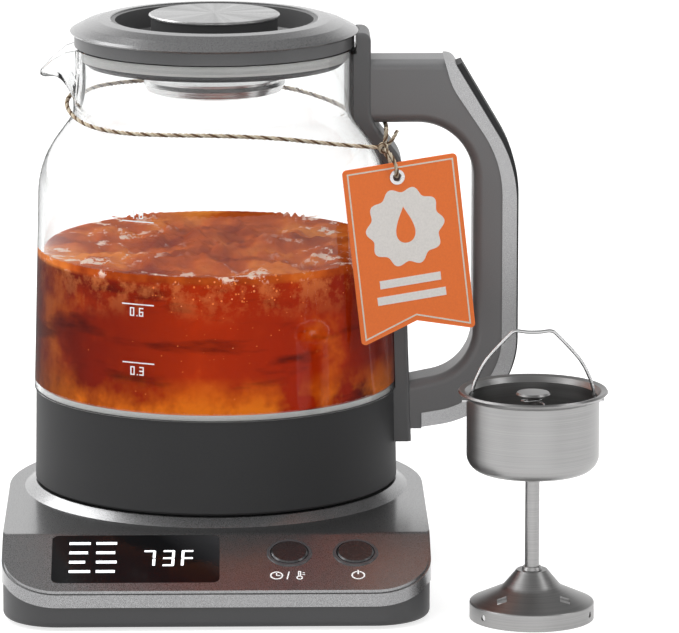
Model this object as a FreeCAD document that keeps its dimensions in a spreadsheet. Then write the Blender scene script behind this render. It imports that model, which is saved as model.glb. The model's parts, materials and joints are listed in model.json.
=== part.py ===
import FreeCAD, Part
import math
import os
import Sketcher

# Automatic tea maker: a glass jug on a heated power base, with its infuser beside it.
# Millimetres, +Z up. The origin is on the worktop, on the jug's upright axis.
# The control panel faces -Y and the jug's handle points along +X.

SIZES = {
    # power base
    "base_half_width": 75.0,
    "base_corner": 20.0,
    "base_wall": 2.4,
    "foot_height": 1.0,
    "foot_ring_outer": 62.0,
    "foot_ring_width": 6.0,
    "front_foot_radius": 6.0,
    "deck_height": 26.9,
    "fold_front": 77.1,
    "panel_slope": 21.5,
    "panel_length": 35.2,
    "panel_step": 0.8,
    "panel_step_depth": 0.9,
    "shell_rim": 5.5,
    "plinth_height": 13.5,
    "plinth_inset": 0.4,
    "plinth_floor": 2.5,
    "plinth_rounding": 2.2,
    "platform_foot_radius": 69.5,
    "platform_top_radius": 65.5,
    "platform_rise": 2.75,
    "platform_lip": 2.2,
    "platform_recess": 1.45,
    # panel fittings, placed along the panel from its upper fold
    "window_width": 58.4,
    "window_length": 28.4,
    "window_centre_side": 28.2,
    "window_centre_down": 15.2,
    "window_corner": 2.6,
    "window_thickness": 1.5,
    "window_margin": 2.6,
    "module_depth": 3.4,
    "button_radius": 6.43,
    "button_gap": 0.3,
    "button_rise": 0.9,
    "button_depth": 3.6,
    "button_travel": 0.8,
    "bezel_radius": 8.0,
    "bezel_rise": 0.4,
    "bezel_sleeve": 7.5,
    "first_button_side": 25.5,
    "second_button_side": 48.6,
    "button_down": 12.2,
    "stem_radius": 1.8,
    "board_depth": 9.0,
    "power_board_length": 70.0,
    "power_board_depth": 34.0,
    "power_board_front": 68.0,
    "board_thickness": 1.6,
    "board_width": 128.0,
    "board_length": 22.0,
    "board_post_radius": 2.2,
    "switch_size": 6.0,
    "switch_height": 2.4,
    # connector between base and jug
    "connector_flange": 24.0,
    "connector_radius": 19.7,
    "tower_radius": 11.5,
    "tower_top": 40.0,
    "tower_snap": 0.9,
    "slot_inner": 5.0,
    "slot_outer": 7.4,
    "slot_floor": 31.0,
    "pin_hole": 2.4,
    "contact_wall": 0.5,
    "collar_outer": 15.5,
    "collar_height": 4.9,
    "running_gap": 0.3,
    "gland_radius": 4.0,
    "gland_bore": 2.4,
    # jug
    "skirt_bottom": 30.3,
    "skirt_top": 64.2,
    "skirt_top_radius": 65.0,
    "skirt_bottom_radius": 65.5,
    "skirt_wall": 2.2,
    "cover_plate": 2.0,
    "cover_height": 31.2,
    "foot_rim_outer": 60.5,
    "foot_rim_width": 4.5,
    "cover_screw_circle": 48.0,
    "glass_wall": 2.2,
    "glass_foot_radius": 65.6,
    "shoulder_radius": 63.3,
    "shoulder_height": 146.0,
    "neck_radius": 50.7,
    "neck_taper": 17.2,
    "corner_drop": 0.7,
    "neck_rise": 25.1,
    "shoulder_fillet": 34.0,
    "neck_fillet": 9.0,
    "plate_height": 61.0,
    "plate_thickness": 1.0,
    "seal_width": 1.8,
    "seal_height": 2.6,
    "element_radius": 38.0,
    "element_tube": 3.4,
    "probe_radius": 4.0,
    "probe_height": 7.0,
    "cutout_radius": 17.0,
    # spout
    "spout_reach": 62.4,
    "spout_drop": 10.7,
    "spout_half_width": 13.0,
    "spout_depth": 20.3,
    # handle
    "spine_half_width": 11.0,
    "spine_bottom": 44.5,
    "spine_rise": 5.6,
    "spine_neck_reach": 55.9,
    "spine_shoulder_reach": 67.2,
    "spine_foot_reach": 70.6,
    "glass_gap": 0.15,
    "arm_drop": 4.4,
    "arm_depth": 22.9,
    "grip_half_depth": 10.0,
    "grip_rounding": 3.5,
    "grip_depth": 16.5,
    "grip_top_bend": 24.0,
    "grip_side_bend": 42.0,
    "grip_low_bend": 27.0,
    "opening_top_bend": 20.0,
    "opening_low_bend": 18.0,
    "lower_arm_top": 65.8,
    "lower_arm_bottom": 49.1,
    "handle_reach": 109.2,
    "trim_width": 6.0,
    "trim_end": 74.3,
    "trim_proud": 0.3,
    "pad_half_depth": 6.2,
    "pad_depth": 2.2,
    "pad_proud": 0.8,
    "screw_radius": 1.8,
    "screw_head": 2.8,
    # lid
    "lid_radius": 51.7,
    "lid_seat": 5.4,
    "lid_rim_radius": 37.2,
    "lid_crown": 4.4,
    "lid_skin": 1.8,
    "band_radius": 50.2,
    "band_wall": 2.4,
    "lid_gap": 0.3,
    "dish_depth": 8.7,
    "dish_wall": 1.6,
    "knob_radius": 23.5,
    "knob_rise": 1.8,
    "knob_plate": 1.3,
    "knob_stem_radius": 22.7,
    "plug_radius": 46.8,
    "plug_depth": 6.2,
    "gasket_width": 1.5,
    "core_radius": 25.4,
    "core_depth": 16.6,
    # infuser
    "infuser_side": 110.2,
    "infuser_front": 92.0,
    "bell_radius": 21.75,
    "bell_band": 5.8,
    "bell_height": 17.2,
    "bell_hub": 5.4,
    "bell_shoulder": 10.5,
    "metal_sheet": 0.7,
    "bell_hole": 3.4,
    "tube_radius": 2.5,
    "tube_wall": 0.4,
    "tube_top": 71.0,
    "collar_radius": 3.6,
    "basket_radius": 23.1,
    "basket_bottom": 52.7,
    "basket_top": 81.0,
    "basket_lip": 26.1,
    "basket_corner": 6.0,
    "bail_wire": 0.6,
    "bail_drop": 3.4,
    "bail_rise": 21.5,
    "bail_grip": 6.6,
    "bail_play": 0.35,
    "spring_radius": 4.0,
    "spring_wire": 0.35,
    "spring_turns": 5.0,
    "cap_radius": 6.0,
    "cap_plate": 1.3,
    "cap_top": 80.6,
    "cap_post": 1.6,
    # twine and tag
    "twine_radius": 0.8,
    "knot_radius": 2.0,
    "tag_width": 42.0,
    "tag_length": 64.2,
    "tag_notch": 6.4,
    "tag_thickness": 0.6,
    "tag_top_margin": 5.2,
    "tag_shift": 1.4,
    "tag_hole": 1.9,
    "eyelet_radius": 2.7,
    "eyelet_bore": 1.6,
    "tag_yaw": 12.7,
    "tag_tilt": 6.6,
    "tag_side": 64.3,
    "tag_front": 41.5,
    "tag_hole_height": 147.4,
}

doc = FreeCAD.newDocument("TeaMaker")
sheet = doc.addObject("Spreadsheet::Sheet", "sizes")
for row, (alias, number) in enumerate(SIZES.items(), start=1):
    sheet.set(f"A{row}", alias)
    sheet.set(f"B{row}", str(number))
    sheet.setAlias(f"B{row}", alias)
doc.recompute()


class Size:
    """A sheet value, or a sum worked out from sheet values, that keeps its expression."""

    def __init__(self, text, value):
        self.text = text
        self.value = value

    def __add__(self, other):
        other = as_size(other)
        return Size(f"({self.text} + {other.text})", self.value + other.value)

    def __radd__(self, other):
        return as_size(other) + self

    def __sub__(self, other):
        other = as_size(other)
        return Size(f"({self.text} - {other.text})", self.value - other.value)

    def __rsub__(self, other):
        return as_size(other) - self

    def __mul__(self, other):
        other = as_size(other)
        return Size(f"({self.text} * {other.text})", self.value * other.value)

    def __rmul__(self, other):
        return as_size(other) * self

    def __truediv__(self, other):
        other = as_size(other)
        return Size(f"({self.text} / {other.text})", self.value / other.value)

    def __neg__(self):
        return Size(f"(0 - {self.text})", -self.value)


def as_size(number):
    """A plain number as a Size."""
    return number if isinstance(number, Size) else Size(str(number), float(number))


def cell(alias):
    """The Size of one sheet cell."""
    return Size(f"sizes.{alias}", float(sheet.get(alias)))


def sin_of(angle):
    """Sine of an angle in degrees."""
    return Size(f"sin({angle.text})", math.sin(math.radians(angle.value)))


def cos_of(angle):
    """Cosine of an angle in degrees."""
    return Size(f"cos({angle.text})", math.cos(math.radians(angle.value)))


def tan_of(angle):
    """Tangent of an angle in degrees."""
    return Size(f"tan({angle.text})", math.tan(math.radians(angle.value)))


def lesser(first, second):
    """The lesser of two Sizes, for a bend that its wall limits."""
    return Size(f"min({first.text}; {second.text})", min(first.value, second.value))


class Sheet:
    """The sheet's cells by name."""

    def __getattr__(self, alias):
        return cell(alias)


z = Sheet()

# Heights and reaches that follow from the sizes of the pieces below or beside them.
neck_height = z.shoulder_height + z.neck_taper
rim_height = neck_height + z.neck_rise
spout_tip_height = rim_height - z.spout_drop
spout_root = rim_height - z.spout_depth
spine_top = rim_height + z.spine_rise
arm_top = rim_height - z.arm_drop
arm_bottom = arm_top - z.arm_depth
opening_reach = z.handle_reach - z.grip_depth
lid_edge_height = rim_height + z.lid_seat
lid_rim_height = lid_edge_height + z.lid_crown
dish_floor = lid_rim_height - z.dish_depth
knob_top = lid_rim_height + z.knob_rise
plug_bottom = rim_height - z.plug_depth
core_bottom = rim_height - z.core_depth


def bind(thing, prop, size):
    """Bind one property to a Size."""
    thing.setExpression(prop, as_size(size).text)


def new_body(name):
    """A PartDesign body with a label of its own."""
    body = doc.addObject("PartDesign::Body", name)
    body.Label = name
    return body


def new_sketch(body, name, role, offset=None):
    """A sketch on one of the body's origin planes, moved along its normal by offset."""
    sketch = body.newObject("Sketcher::SketchObject", name)
    plane = [item for item in body.Origin.OriginFeatures if item.Role == role][0]
    sketch.AttachmentSupport = (plane, [""])
    sketch.MapMode = "FlatFace"
    if offset is not None:
        height = as_size(offset)
        sketch.AttachmentOffset = FreeCAD.Placement(
            FreeCAD.Vector(0, 0, height.value), FreeCAD.Rotation()
        )
        bind(sketch, "AttachmentOffset.Base.z", height)
    return sketch


def fix_point(sketch, index, position, corner):
    """Bind one sketch point to its two coordinates."""
    for kind, axis, size in (("DistanceX", -2, corner[0]), ("DistanceY", -1, corner[1])):
        size = as_size(size)
        if size.text in ("0", "0.0"):
            sketch.addConstraint(Sketcher.Constraint("PointOnObject", index, position, axis))
            continue
        number = sketch.addConstraint(
            Sketcher.Constraint(kind, -1, 1, index, position, size.value)
        )
        bind(sketch, f"Constraints[{number}]", size)


def polygon(sketch, corners):
    """A closed outline of straight lines, each corner bound to the sheet."""
    first = sketch.GeometryCount
    count = len(corners)
    places = [
        FreeCAD.Vector(as_size(across).value, as_size(up).value, 0) for across, up in corners
    ]
    for index in range(count):
        line = Part.LineSegment(places[index], places[(index + 1) % count])
        sketch.addGeometry(line, False)
    for index in range(count):
        following = first + (index + 1) % count
        sketch.addConstraint(Sketcher.Constraint("Coincident", first + index, 2, following, 1))
    for index, corner in enumerate(corners):
        fix_point(sketch, first + index, 1, corner)


def circle(sketch, radius, centre=(0, 0)):
    """A circle bound to its radius and centre."""
    place = FreeCAD.Vector(as_size(centre[0]).value, as_size(centre[1]).value, 0)
    radius = as_size(radius)
    index = sketch.addGeometry(Part.Circle(place, FreeCAD.Vector(0, 0, 1), radius.value), False)
    fix_point(sketch, index, 3, centre)
    number = sketch.addConstraint(Sketcher.Constraint("Radius", index, radius.value))
    bind(sketch, f"Constraints[{number}]", radius)


def revolve(body, name, corners, kind="PartDesign::Revolution"):
    """Turn an outline of (radius, height) corners about the upright axis."""
    sketch = new_sketch(body, name + "_profile", "XZ_Plane")
    polygon(sketch, corners)
    feature = body.newObject(kind, name)
    feature.Profile = (sketch, [""])
    feature.ReferenceAxis = (sketch, ["V_Axis"])
    feature.Angle = 360
    return feature


def turned(name, corners):
    """A body that is one turned outline."""
    body = new_body(name)
    revolve(body, name + "_turn", corners)
    return body


def pad(body, name, sketch, length, kind="PartDesign::Pad", symmetric=False, backwards=False):
    """Pad or pocket a sketch by a bound length."""
    feature = body.newObject(kind, name)
    feature.Profile = (sketch, [""])
    feature.Reversed = backwards
    if symmetric:
        feature.SideType = "Symmetric"
    bind(feature, "Length", length)
    return feature


def upright_plate(body, name, corners, half_depth, kind="PartDesign::Pad"):
    """An outline in the XZ plane, as deep as half_depth on both sides of it."""
    sketch = new_sketch(body, name + "_profile", "XZ_Plane")
    polygon(sketch, corners)
    return pad(body, name, sketch, as_size(half_depth) * 2, kind, symmetric=True)


def side_cut(body, name, corners):
    """Cut an outline in the YZ plane right through, on both sides of it."""
    sketch = new_sketch(body, name + "_profile", "YZ_Plane")
    polygon(sketch, corners)
    return pad(
        body, name, sketch, z.base_half_width * 4, "PartDesign::Pocket", symmetric=True
    )


def boolean(kind, name, base, tool):
    """A cut or common of two objects, under the name of the finished piece."""
    result = doc.addObject(kind, name)
    result.Label = name
    result.Base = base
    result.Tool = tool
    return result


def joined(name, pieces):
    """Several solids as one tool or one node."""
    result = doc.addObject("Part::MultiFuse", name)
    result.Label = name
    result.Shapes = pieces
    return result


def cylinder(name, radius, height, place=(0, 0, 0)):
    """An upright cylinder bound to its sizes and place."""
    rod = doc.addObject("Part::Cylinder", name)
    rod.Label = name
    bind(rod, "Radius", radius)
    bind(rod, "Height", height)
    for letter, size in zip("xyz", place):
        bind(rod, f"Placement.Base.{letter}", size)
    return rod


def block(name, sizes, place):
    """A box bound to its three sizes and its lowest corner."""
    box = doc.addObject("Part::Box", name)
    box.Label = name
    for prop, size in zip(("Length", "Width", "Height"), sizes):
        bind(box, prop, size)
    for letter, size in zip("xyz", place):
        bind(box, f"Placement.Base.{letter}", size)
    return box


def edges_at(shape, tests):
    """Names of the edges whose middle point passes one of the tests."""
    names = []
    for index, edge in enumerate(shape.Edges, start=1):
        middle = edge.valueAt((edge.FirstParameter + edge.LastParameter) / 2)
        if any(test(middle, edge) for test in tests):
            names.append(f"Edge{index}")
    return names


def fillet(body, name, feature, tests, radius):
    """Round the edges of a body's last feature that pass one of the tests."""
    doc.recompute()
    names = edges_at(feature.Shape, tests)
    if not names:
        raise RuntimeError(f"{name} finds no edge to round")
    rounding = body.newObject("PartDesign::Fillet", name)
    rounding.Base = (feature, names)
    bind(rounding, "Radius", radius)
    return rounding


def ring_at(radius, height, slack=0.05):
    """A test for a circular edge about the upright axis."""
    radius = as_size(radius).value
    height = as_size(height).value

    def test(middle, edge):
        reach = math.hypot(middle.x, middle.y)
        return abs(reach - radius) < slack and abs(middle.z - height) < slack

    return test


def corner_at(across, up, slack=0.05):
    """A test for an edge along Y at one corner of an XZ outline."""
    across = as_size(across).value
    up = as_size(up).value

    def test(middle, edge):
        run = edge.Vertexes[0].Point - edge.Vertexes[-1].Point
        along = abs(run.x) + abs(run.z) < 1e-6
        return along and abs(middle.x - across) < slack and abs(middle.z - up) < slack

    return test


# Panel geometry. The panel falls away from the fold towards the front.
groove_height = z.deck_height - z.panel_length * sin_of(z.panel_slope)
groove_front = z.fold_front + z.panel_length * cos_of(z.panel_slope)
boundary_back = groove_front - (z.plinth_height - groove_height + z.shell_rim) / tan_of(
    z.panel_slope
)


gland_height = z.foot_height + z.plinth_floor + z.gland_radius + 0.9


def base_outline(body, name, inset, bottom, top):
    """The base's D shape with rounded front corners, padded from bottom to top."""
    sketch = new_sketch(body, name + "_outline", "XY_Plane", bottom)
    half = z.base_half_width - inset
    nose = groove_front - inset
    corner = z.base_corner - inset
    reach = half.value
    depth = nose.value
    bend = corner.value
    chord = bend / math.sqrt(2)
    rear = Part.Arc(
        FreeCAD.Vector(reach, 0, 0), FreeCAD.Vector(0, reach, 0), FreeCAD.Vector(-reach, 0, 0)
    )
    places = [
        FreeCAD.Vector(-reach, 0, 0),
        FreeCAD.Vector(-reach, bend - depth, 0),
        FreeCAD.Vector(bend - reach - chord, bend - depth - chord, 0),
        FreeCAD.Vector(bend - reach, -depth, 0),
        FreeCAD.Vector(reach - bend, -depth, 0),
        FreeCAD.Vector(reach - bend + chord, bend - depth - chord, 0),
        FreeCAD.Vector(reach, bend - depth, 0),
        FreeCAD.Vector(reach, 0, 0),
    ]
    sketch.addGeometry(rear, False)
    sketch.addGeometry(Part.LineSegment(places[0], places[1]), False)
    sketch.addGeometry(Part.Arc(places[1], places[2], places[3]), False)
    sketch.addGeometry(Part.LineSegment(places[3], places[4]), False)
    sketch.addGeometry(Part.Arc(places[4], places[5], places[6]), False)
    sketch.addGeometry(Part.LineSegment(places[6], places[7]), False)
    ends = [(0, 2, 1, 1), (1, 2, 2, 1), (2, 2, 3, 1), (3, 2, 4, 1), (4, 2, 5, 1), (5, 2, 0, 1)]
    for first, first_end, second, second_end in ends:
        sketch.addConstraint(
            Sketcher.Constraint("Coincident", first, first_end, second, second_end)
        )
    sketch.addConstraint(Sketcher.Constraint("Coincident", 0, 3, -1, 1))
    sketch.addConstraint(Sketcher.Constraint("PointOnObject", 0, 1, -1))
    sketch.addConstraint(Sketcher.Constraint("PointOnObject", 0, 2, -1))
    for arc, radius in ((0, half), (2, corner), (4, corner)):
        number = sketch.addConstraint(Sketcher.Constraint("Radius", arc, radius.value))
        bind(sketch, f"Constraints[{number}]", radius)
    fix_point(sketch, 1, 2, (-half, corner - nose))
    fix_point(sketch, 3, 1, (corner - half, -nose))
    fix_point(sketch, 3, 2, (half - corner, -nose))
    fix_point(sketch, 5, 1, (half, corner - nose))
    return pad(body, name, sketch, as_size(top) - bottom)


def slope_cut(body, name, depth):
    """Cut away what is above a plane that lies depth below the panel's surface."""
    drop = as_size(depth) / cos_of(z.panel_slope)
    back = z.fold_front - as_size(depth) / sin_of(z.panel_slope)
    far = groove_front + z.base_corner
    low = groove_height - z.base_corner * tan_of(z.panel_slope) - drop
    high = z.deck_height + z.base_corner
    top = z.deck_height
    corners = [(-back, top), (-far, low), (-far, high), (-back, high)]
    return side_cut(body, name, corners)


def base_deck():
    """Upper shell: the flat deck, the sloped panel with its stepped edge, and the platform."""
    outer = new_body("deck_outer")
    bottom = groove_height - z.shell_rim
    base_outline(outer, "deck_full", as_size(0), bottom, z.deck_height)
    slope_cut(outer, "deck_step", z.panel_step_depth)
    base_outline(outer, "deck_inset", z.panel_step, bottom, z.deck_height)
    panel_cut = slope_cut(outer, "deck_slope", as_size(0))
    fold = z.fold_front.value

    def at_fold(middle, edge):
        run = edge.Vertexes[0].Point - edge.Vertexes[-1].Point
        return abs(middle.y + fold) < 0.01 and abs(run.x) > 100 and abs(run.y) < 0.01

    fillet(outer, "deck_fold", panel_cut, [at_fold], 6.0)
    below = bottom - 1
    side_cut(
        outer,
        "deck_underside",
        [
            (z.base_half_width + 5, below),
            (z.base_half_width + 5, z.plinth_height),
            (-boundary_back, z.plinth_height),
            (-groove_front, bottom),
            (-groove_front - 5, below),
        ],
    )
    crown = z.deck_height + z.platform_rise
    recess = crown - z.platform_recess
    lip = z.platform_top_radius - z.platform_lip
    revolve(
        outer,
        "deck_platform",
        [
            (0, z.deck_height - z.base_wall),
            (z.platform_foot_radius, z.deck_height - z.base_wall),
            (z.platform_foot_radius, z.deck_height),
            (z.platform_top_radius, crown),
            (lip, crown),
            (lip, recess),
            (0, recess),
        ],
    )
    hollow = new_body("deck_hollow")
    base_outline(hollow, "hollow_block", z.base_wall, bottom - 1, z.deck_height - z.base_wall)
    slope_cut(hollow, "hollow_slope", z.base_wall)
    openings = [
        hollow,
        cylinder("connector_hole", z.connector_radius, crown, (0, 0, 0)),
        on_panel(window_box("window_seat", 0.1, z.window_thickness + 1), z.window_centre_side * -1,
                 z.window_centre_down, -z.window_thickness),
        on_panel(window_box("window_through", -z.window_margin, z.module_depth + 4),
                 z.window_centre_side * -1, z.window_centre_down, -z.module_depth - 2),
    ]
    for name, side in (("first", z.first_button_side), ("second", z.second_button_side)):
        hole = panel_rod(f"{name}_button_hole", z.bezel_sleeve, z.base_wall * 3)
        openings.append(on_panel(hole, side, z.button_down, z.base_wall * -2))
    shell = boolean("Part::Cut", "deck_shell", outer, joined("deck_openings", openings))
    posts = []
    for number, (side, down) in enumerate(board_corners(), start=1):
        post = panel_rod(f"board_post_{number}", z.board_post_radius, z.board_depth - 1)
        posts.append(on_panel(post, side, down, -z.board_depth))
    return joined("base_deck", [shell] + posts)


def board_corners():
    """Where the control board's four posts stand on the panel."""
    side = z.board_width / 2 - 3
    near = z.button_down - z.board_length / 2 + 2.6
    far = z.button_down + z.board_length / 2 - 2.6
    return [(side, near), (-side, near), (side, far), (-side, far)]


def on_panel(thing, side, down, out):
    """Place an object whose Z is the panel's outward normal at a point of the panel."""
    down = as_size(down)
    out = as_size(out)
    front = z.fold_front + down * cos_of(z.panel_slope) + out * sin_of(z.panel_slope)
    height = z.deck_height - down * sin_of(z.panel_slope) + out * cos_of(z.panel_slope)
    thing.Placement = FreeCAD.Placement(
        FreeCAD.Vector(0, 0, 0), FreeCAD.Rotation(FreeCAD.Vector(1, 0, 0), z.panel_slope.value)
    )
    bind(thing, "Placement.Rotation.Angle", z.panel_slope)
    bind(thing, "Placement.Base.x", side)
    bind(thing, "Placement.Base.y", -front)
    bind(thing, "Placement.Base.z", height)
    return thing


def panel_rod(name, radius, height):
    """A cylinder that will stand on the panel."""
    rod = doc.addObject("Part::Cylinder", name)
    rod.Label = name
    bind(rod, "Radius", radius)
    bind(rod, "Height", height)
    return rod


def window_box(name, margin, height):
    """A rounded rectangle like the display window, grown by margin on every side."""
    body = new_body(name)
    sketch = new_sketch(body, name + "_outline", "XY_Plane")
    side = z.window_width / 2 + margin
    half = z.window_length / 2 + margin
    polygon(sketch, [(-side, -half), (side, -half), (side, half), (-side, half)])
    feature = pad(body, name + "_pad", sketch, height)
    reach = side.value

    def at_corner(middle, edge):
        upright = abs(edge.Vertexes[0].Z - edge.Vertexes[-1].Z) > 1e-6
        return upright and abs(abs(middle.x) - reach) < 0.01

    fillet(body, name + "_corners", feature, [at_corner], z.window_corner + margin * 0.4)
    return body


def panel_turned(name, corners, side, down):
    """A turned piece that stands on the panel, its heights measured along the normal."""
    return on_panel(turned(name, corners), side, down, 0)


def panel_pieces():
    """Window, display module, buttons, their bezels, the board and its switches."""
    pieces = []
    window = window_box("display_window", 0, z.window_thickness)
    on_panel(window, z.window_centre_side * -1, z.window_centre_down, -z.window_thickness)
    pieces.append(window)
    module = window_box("display_module", -z.window_margin - 0.4, z.module_depth)
    on_panel(
        module,
        z.window_centre_side * -1,
        z.window_centre_down,
        -z.window_thickness - z.module_depth,
    )
    pieces.append(module)
    switches = []
    top = z.board_thickness - z.board_depth - z.board_thickness
    for name, side in (("first", z.first_button_side), ("second", z.second_button_side)):
        bore = z.button_radius + z.button_gap
        bezel = panel_turned(
            f"{name}_button_bezel",
            [
                (bore, -z.base_wall * 1.6),
                (z.bezel_sleeve, -z.base_wall * 1.6),
                (z.bezel_sleeve, 0),
                (z.bezel_radius, 0),
                (z.bezel_radius - 0.3, z.bezel_rise),
                (bore, z.bezel_rise),
            ],
            side,
            z.button_down,
        )
        foot = top + z.switch_height + z.button_travel + 0.2
        cap = panel_turned(
            f"{name}_button",
            [
                (0, foot),
                (z.stem_radius, foot),
                (z.stem_radius, z.button_rise - z.button_depth),
                (z.button_radius, z.button_rise - z.button_depth),
                (z.button_radius, z.button_rise - 0.5),
                (z.button_radius - 0.5, z.button_rise),
                (0, z.button_rise),
            ],
            side,
            z.button_down,
        )
        pieces.extend([bezel, cap])
        switch = block(
            f"{name}_switch", (z.switch_size, z.switch_size, z.switch_height), (0, 0, 0)
        )
        half = z.switch_size / 2
        on_panel(switch, side - half, z.button_down + half, top)
        switches.append(switch)
    half_width = z.board_width / 2
    board = block(
        "control_board", (z.board_width, z.board_length, z.board_thickness), (0, 0, 0)
    )
    on_panel(
        board,
        -half_width,
        z.button_down + z.board_length / 2,
        -z.board_depth - z.board_thickness,
    )
    pieces.append(board)
    pieces.append(joined("tact_switches", switches))
    return pieces


def base_plinth():
    """Lower tray of the base: floor, walls and the notch for the cord gland."""
    tray = new_body("plinth_tray")
    block_pad = base_outline(
        tray, "tray_block", z.plinth_inset, z.foot_height, z.plinth_height
    )
    floor_level = z.foot_height.value

    def at_bottom(middle, edge):
        return abs(middle.z - floor_level) < 0.01

    fillet(tray, "tray_foot", block_pad, [at_bottom], z.plinth_rounding)
    bottom = groove_height - z.shell_rim
    high = z.plinth_height + 5
    side_cut(
        tray,
        "tray_slope",
        [
            (-boundary_back, z.plinth_height),
            (-groove_front, bottom),
            (-groove_front - 5, bottom - 2),
            (-groove_front - 5, high),
            (-boundary_back, high),
        ],
    )
    hollow = new_body("tray_hollow")
    wall = z.plinth_inset + z.base_wall
    floor = z.foot_height + z.plinth_floor
    base_outline(hollow, "tray_space", wall, floor, z.plinth_height + 1)
    rear = z.base_half_width + 2
    gland = cylinder("gland_hole", z.gland_radius, z.base_wall * 4)
    lay_along_y(gland, 0, rear, gland_height)
    seat = foot_ring_body("foot_ring_seat", z.foot_height + 0.8)
    return boolean("Part::Cut", "base_plinth", tray, joined("tray_cuts", [hollow, gland, seat]))


def lay_along_y(thing, side, back, height):
    """Lay a cylinder down with its axis along -Y from a point behind."""
    thing.Placement = FreeCAD.Placement(
        FreeCAD.Vector(0, 0, 0), FreeCAD.Rotation(FreeCAD.Vector(1, 0, 0), 90)
    )
    bind(thing, "Placement.Base.x", side)
    bind(thing, "Placement.Base.y", back)
    bind(thing, "Placement.Base.z", height)


def foot_ring_body(name, top):
    """The rubber ring that the base stands on, from the worktop up to top."""
    inner = z.foot_ring_outer - z.foot_ring_width
    outer = z.foot_ring_outer
    return turned(name, [(inner, 0), (outer, 0), (outer, top), (inner, top)])


def base_small_pieces():
    """Feet, cord gland, power board and screws of the base."""
    ring = foot_ring_body("foot_ring", z.foot_height + 0.8)
    feet = []
    side = z.base_half_width - z.base_corner
    front = groove_front - z.base_corner
    for name, sign in (("left_foot", -1), ("right_foot", 1)):
        feet.append(cylinder(name, z.front_foot_radius, z.foot_height, (side * sign, -front, 0)))
    front_feet = joined("front_feet", feet)
    floor = z.foot_height + z.plinth_floor
    gland = new_body("cord_gland")
    half = z.base_wall * 2
    revolve(
        gland,
        "gland_turn",
        [
            (z.gland_bore, 0),
            (z.gland_radius, 0),
            (z.gland_radius, half * 2 - 2),
            (z.gland_radius + 0.7, half * 2 - 2),
            (z.gland_radius + 0.7, half * 2),
            (z.gland_bore, half * 2),
        ],
    )
    lay_along_y(gland, 0, z.base_half_width + 0.6, gland_height)
    long = z.power_board_length
    deep = z.power_board_depth
    front = -z.power_board_front
    board = block("power_board", (long, deep, z.board_thickness), (-long / 2, front, floor + 3))
    posts = []
    post_side = long / 2 - 3
    near = front + 3
    far = front + deep - 3
    corners = ((-post_side, near), (post_side, near), (-post_side, far), (post_side, far))
    for number, (side, back) in enumerate(corners, 1):
        posts.append(cylinder(f"power_post_{number}", 2.0, 3, (side, back, floor)))
    posts_node = joined("power_board_posts", posts)
    screws = []
    for number, (side, back) in enumerate(((-55, -88), (55, -88), (-48, 40), (48, 40)), 1):
        shank = cylinder(f"base_screw_{number}", 1.5, 6, (side, back, floor))
        head = cylinder(f"base_screw_head_{number}", 3.0, 1.6, (side, back, floor))
        screws.extend([shank, head])
    screw_node = joined("base_screws", screws)
    return [ring, front_feet, gland, board, posts_node, screw_node]


def connector_pieces():
    """The base's connector tower with its contacts, and the loose collar round it."""
    under = z.deck_height - z.base_wall
    recess = z.deck_height + z.platform_rise - z.platform_recess
    face = recess - 0.2
    foot = under - 4
    gap = z.running_gap
    snap_low = face + gap * 2 + z.collar_height
    snap = z.tower_radius + z.tower_snap
    body = turned(
        "connector_tower",
        [
            (0, foot),
            (z.connector_flange, foot),
            (z.connector_flange, under),
            (z.connector_radius, under),
            (z.connector_radius, face),
            (z.tower_radius, face),
            (z.tower_radius, snap_low),
            (snap, snap_low + 0.4),
            (snap, snap_low + 1.2),
            (z.tower_radius, snap_low + 1.9),
            (z.tower_radius, z.tower_top - 1),
            (z.tower_radius - 1, z.tower_top),
            (z.slot_outer, z.tower_top),
            (z.slot_outer, z.slot_floor),
            (z.slot_inner, z.slot_floor),
            (z.slot_inner, z.tower_top),
            (z.pin_hole, z.tower_top),
            (z.pin_hole, z.slot_floor),
            (0, z.slot_floor),
        ],
    )
    wall = z.contact_wall
    ring = turned(
        "ring_contact_metal",
        [
            (z.slot_outer - wall, z.slot_floor),
            (z.slot_outer, z.slot_floor),
            (z.slot_outer, z.tower_top - 2),
            (z.slot_outer - wall, z.tower_top - 2),
        ],
    )
    middle = cylinder("centre_contact_metal", z.pin_hole, 1.2, (0, 0, z.slot_floor))
    contacts = joined("base_contacts", [ring, middle])
    inner = z.tower_radius + gap
    collar = turned(
        "swivel_collar",
        [
            (inner, face + gap),
            (z.collar_outer, face + gap),
            (z.collar_outer, face + gap + z.collar_height - 1),
            (z.collar_outer - 1, face + gap + z.collar_height),
            (inner, face + gap + z.collar_height),
        ],
    )
    bore = z.collar_outer + gap * 1.5
    upper = z.tower_radius + z.tower_snap + gap * 1.5
    step = face + gap * 2 + z.collar_height + 0.3
    roof = z.tower_top + 0.8
    socket = turned(
        "jug_connector",
        [
            (bore, z.cover_height - 2.6),
            (bore + 5, z.cover_height - 2.6),
            (bore + 5, roof + 5),
            (0, roof + 5),
            (0, z.slot_floor + 3),
            (z.pin_hole - 0.7, z.slot_floor + 3),
            (z.pin_hole - 0.7, roof),
            (z.slot_inner + 0.6, roof),
            (z.slot_inner + 0.6, z.slot_floor + 2),
            (z.slot_outer - wall - 0.6, z.slot_floor + 2),
            (z.slot_outer - wall - 0.6, roof),
            (upper, roof),
            (upper, step),
            (bore, step),
        ],
    )
    return [body, contacts, collar, socket]


glass_corners = [
    (z.glass_foot_radius, z.skirt_top),
    (z.shoulder_radius, z.shoulder_height),
    (z.neck_radius, neck_height),
    (z.neck_radius, rim_height),
]


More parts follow.
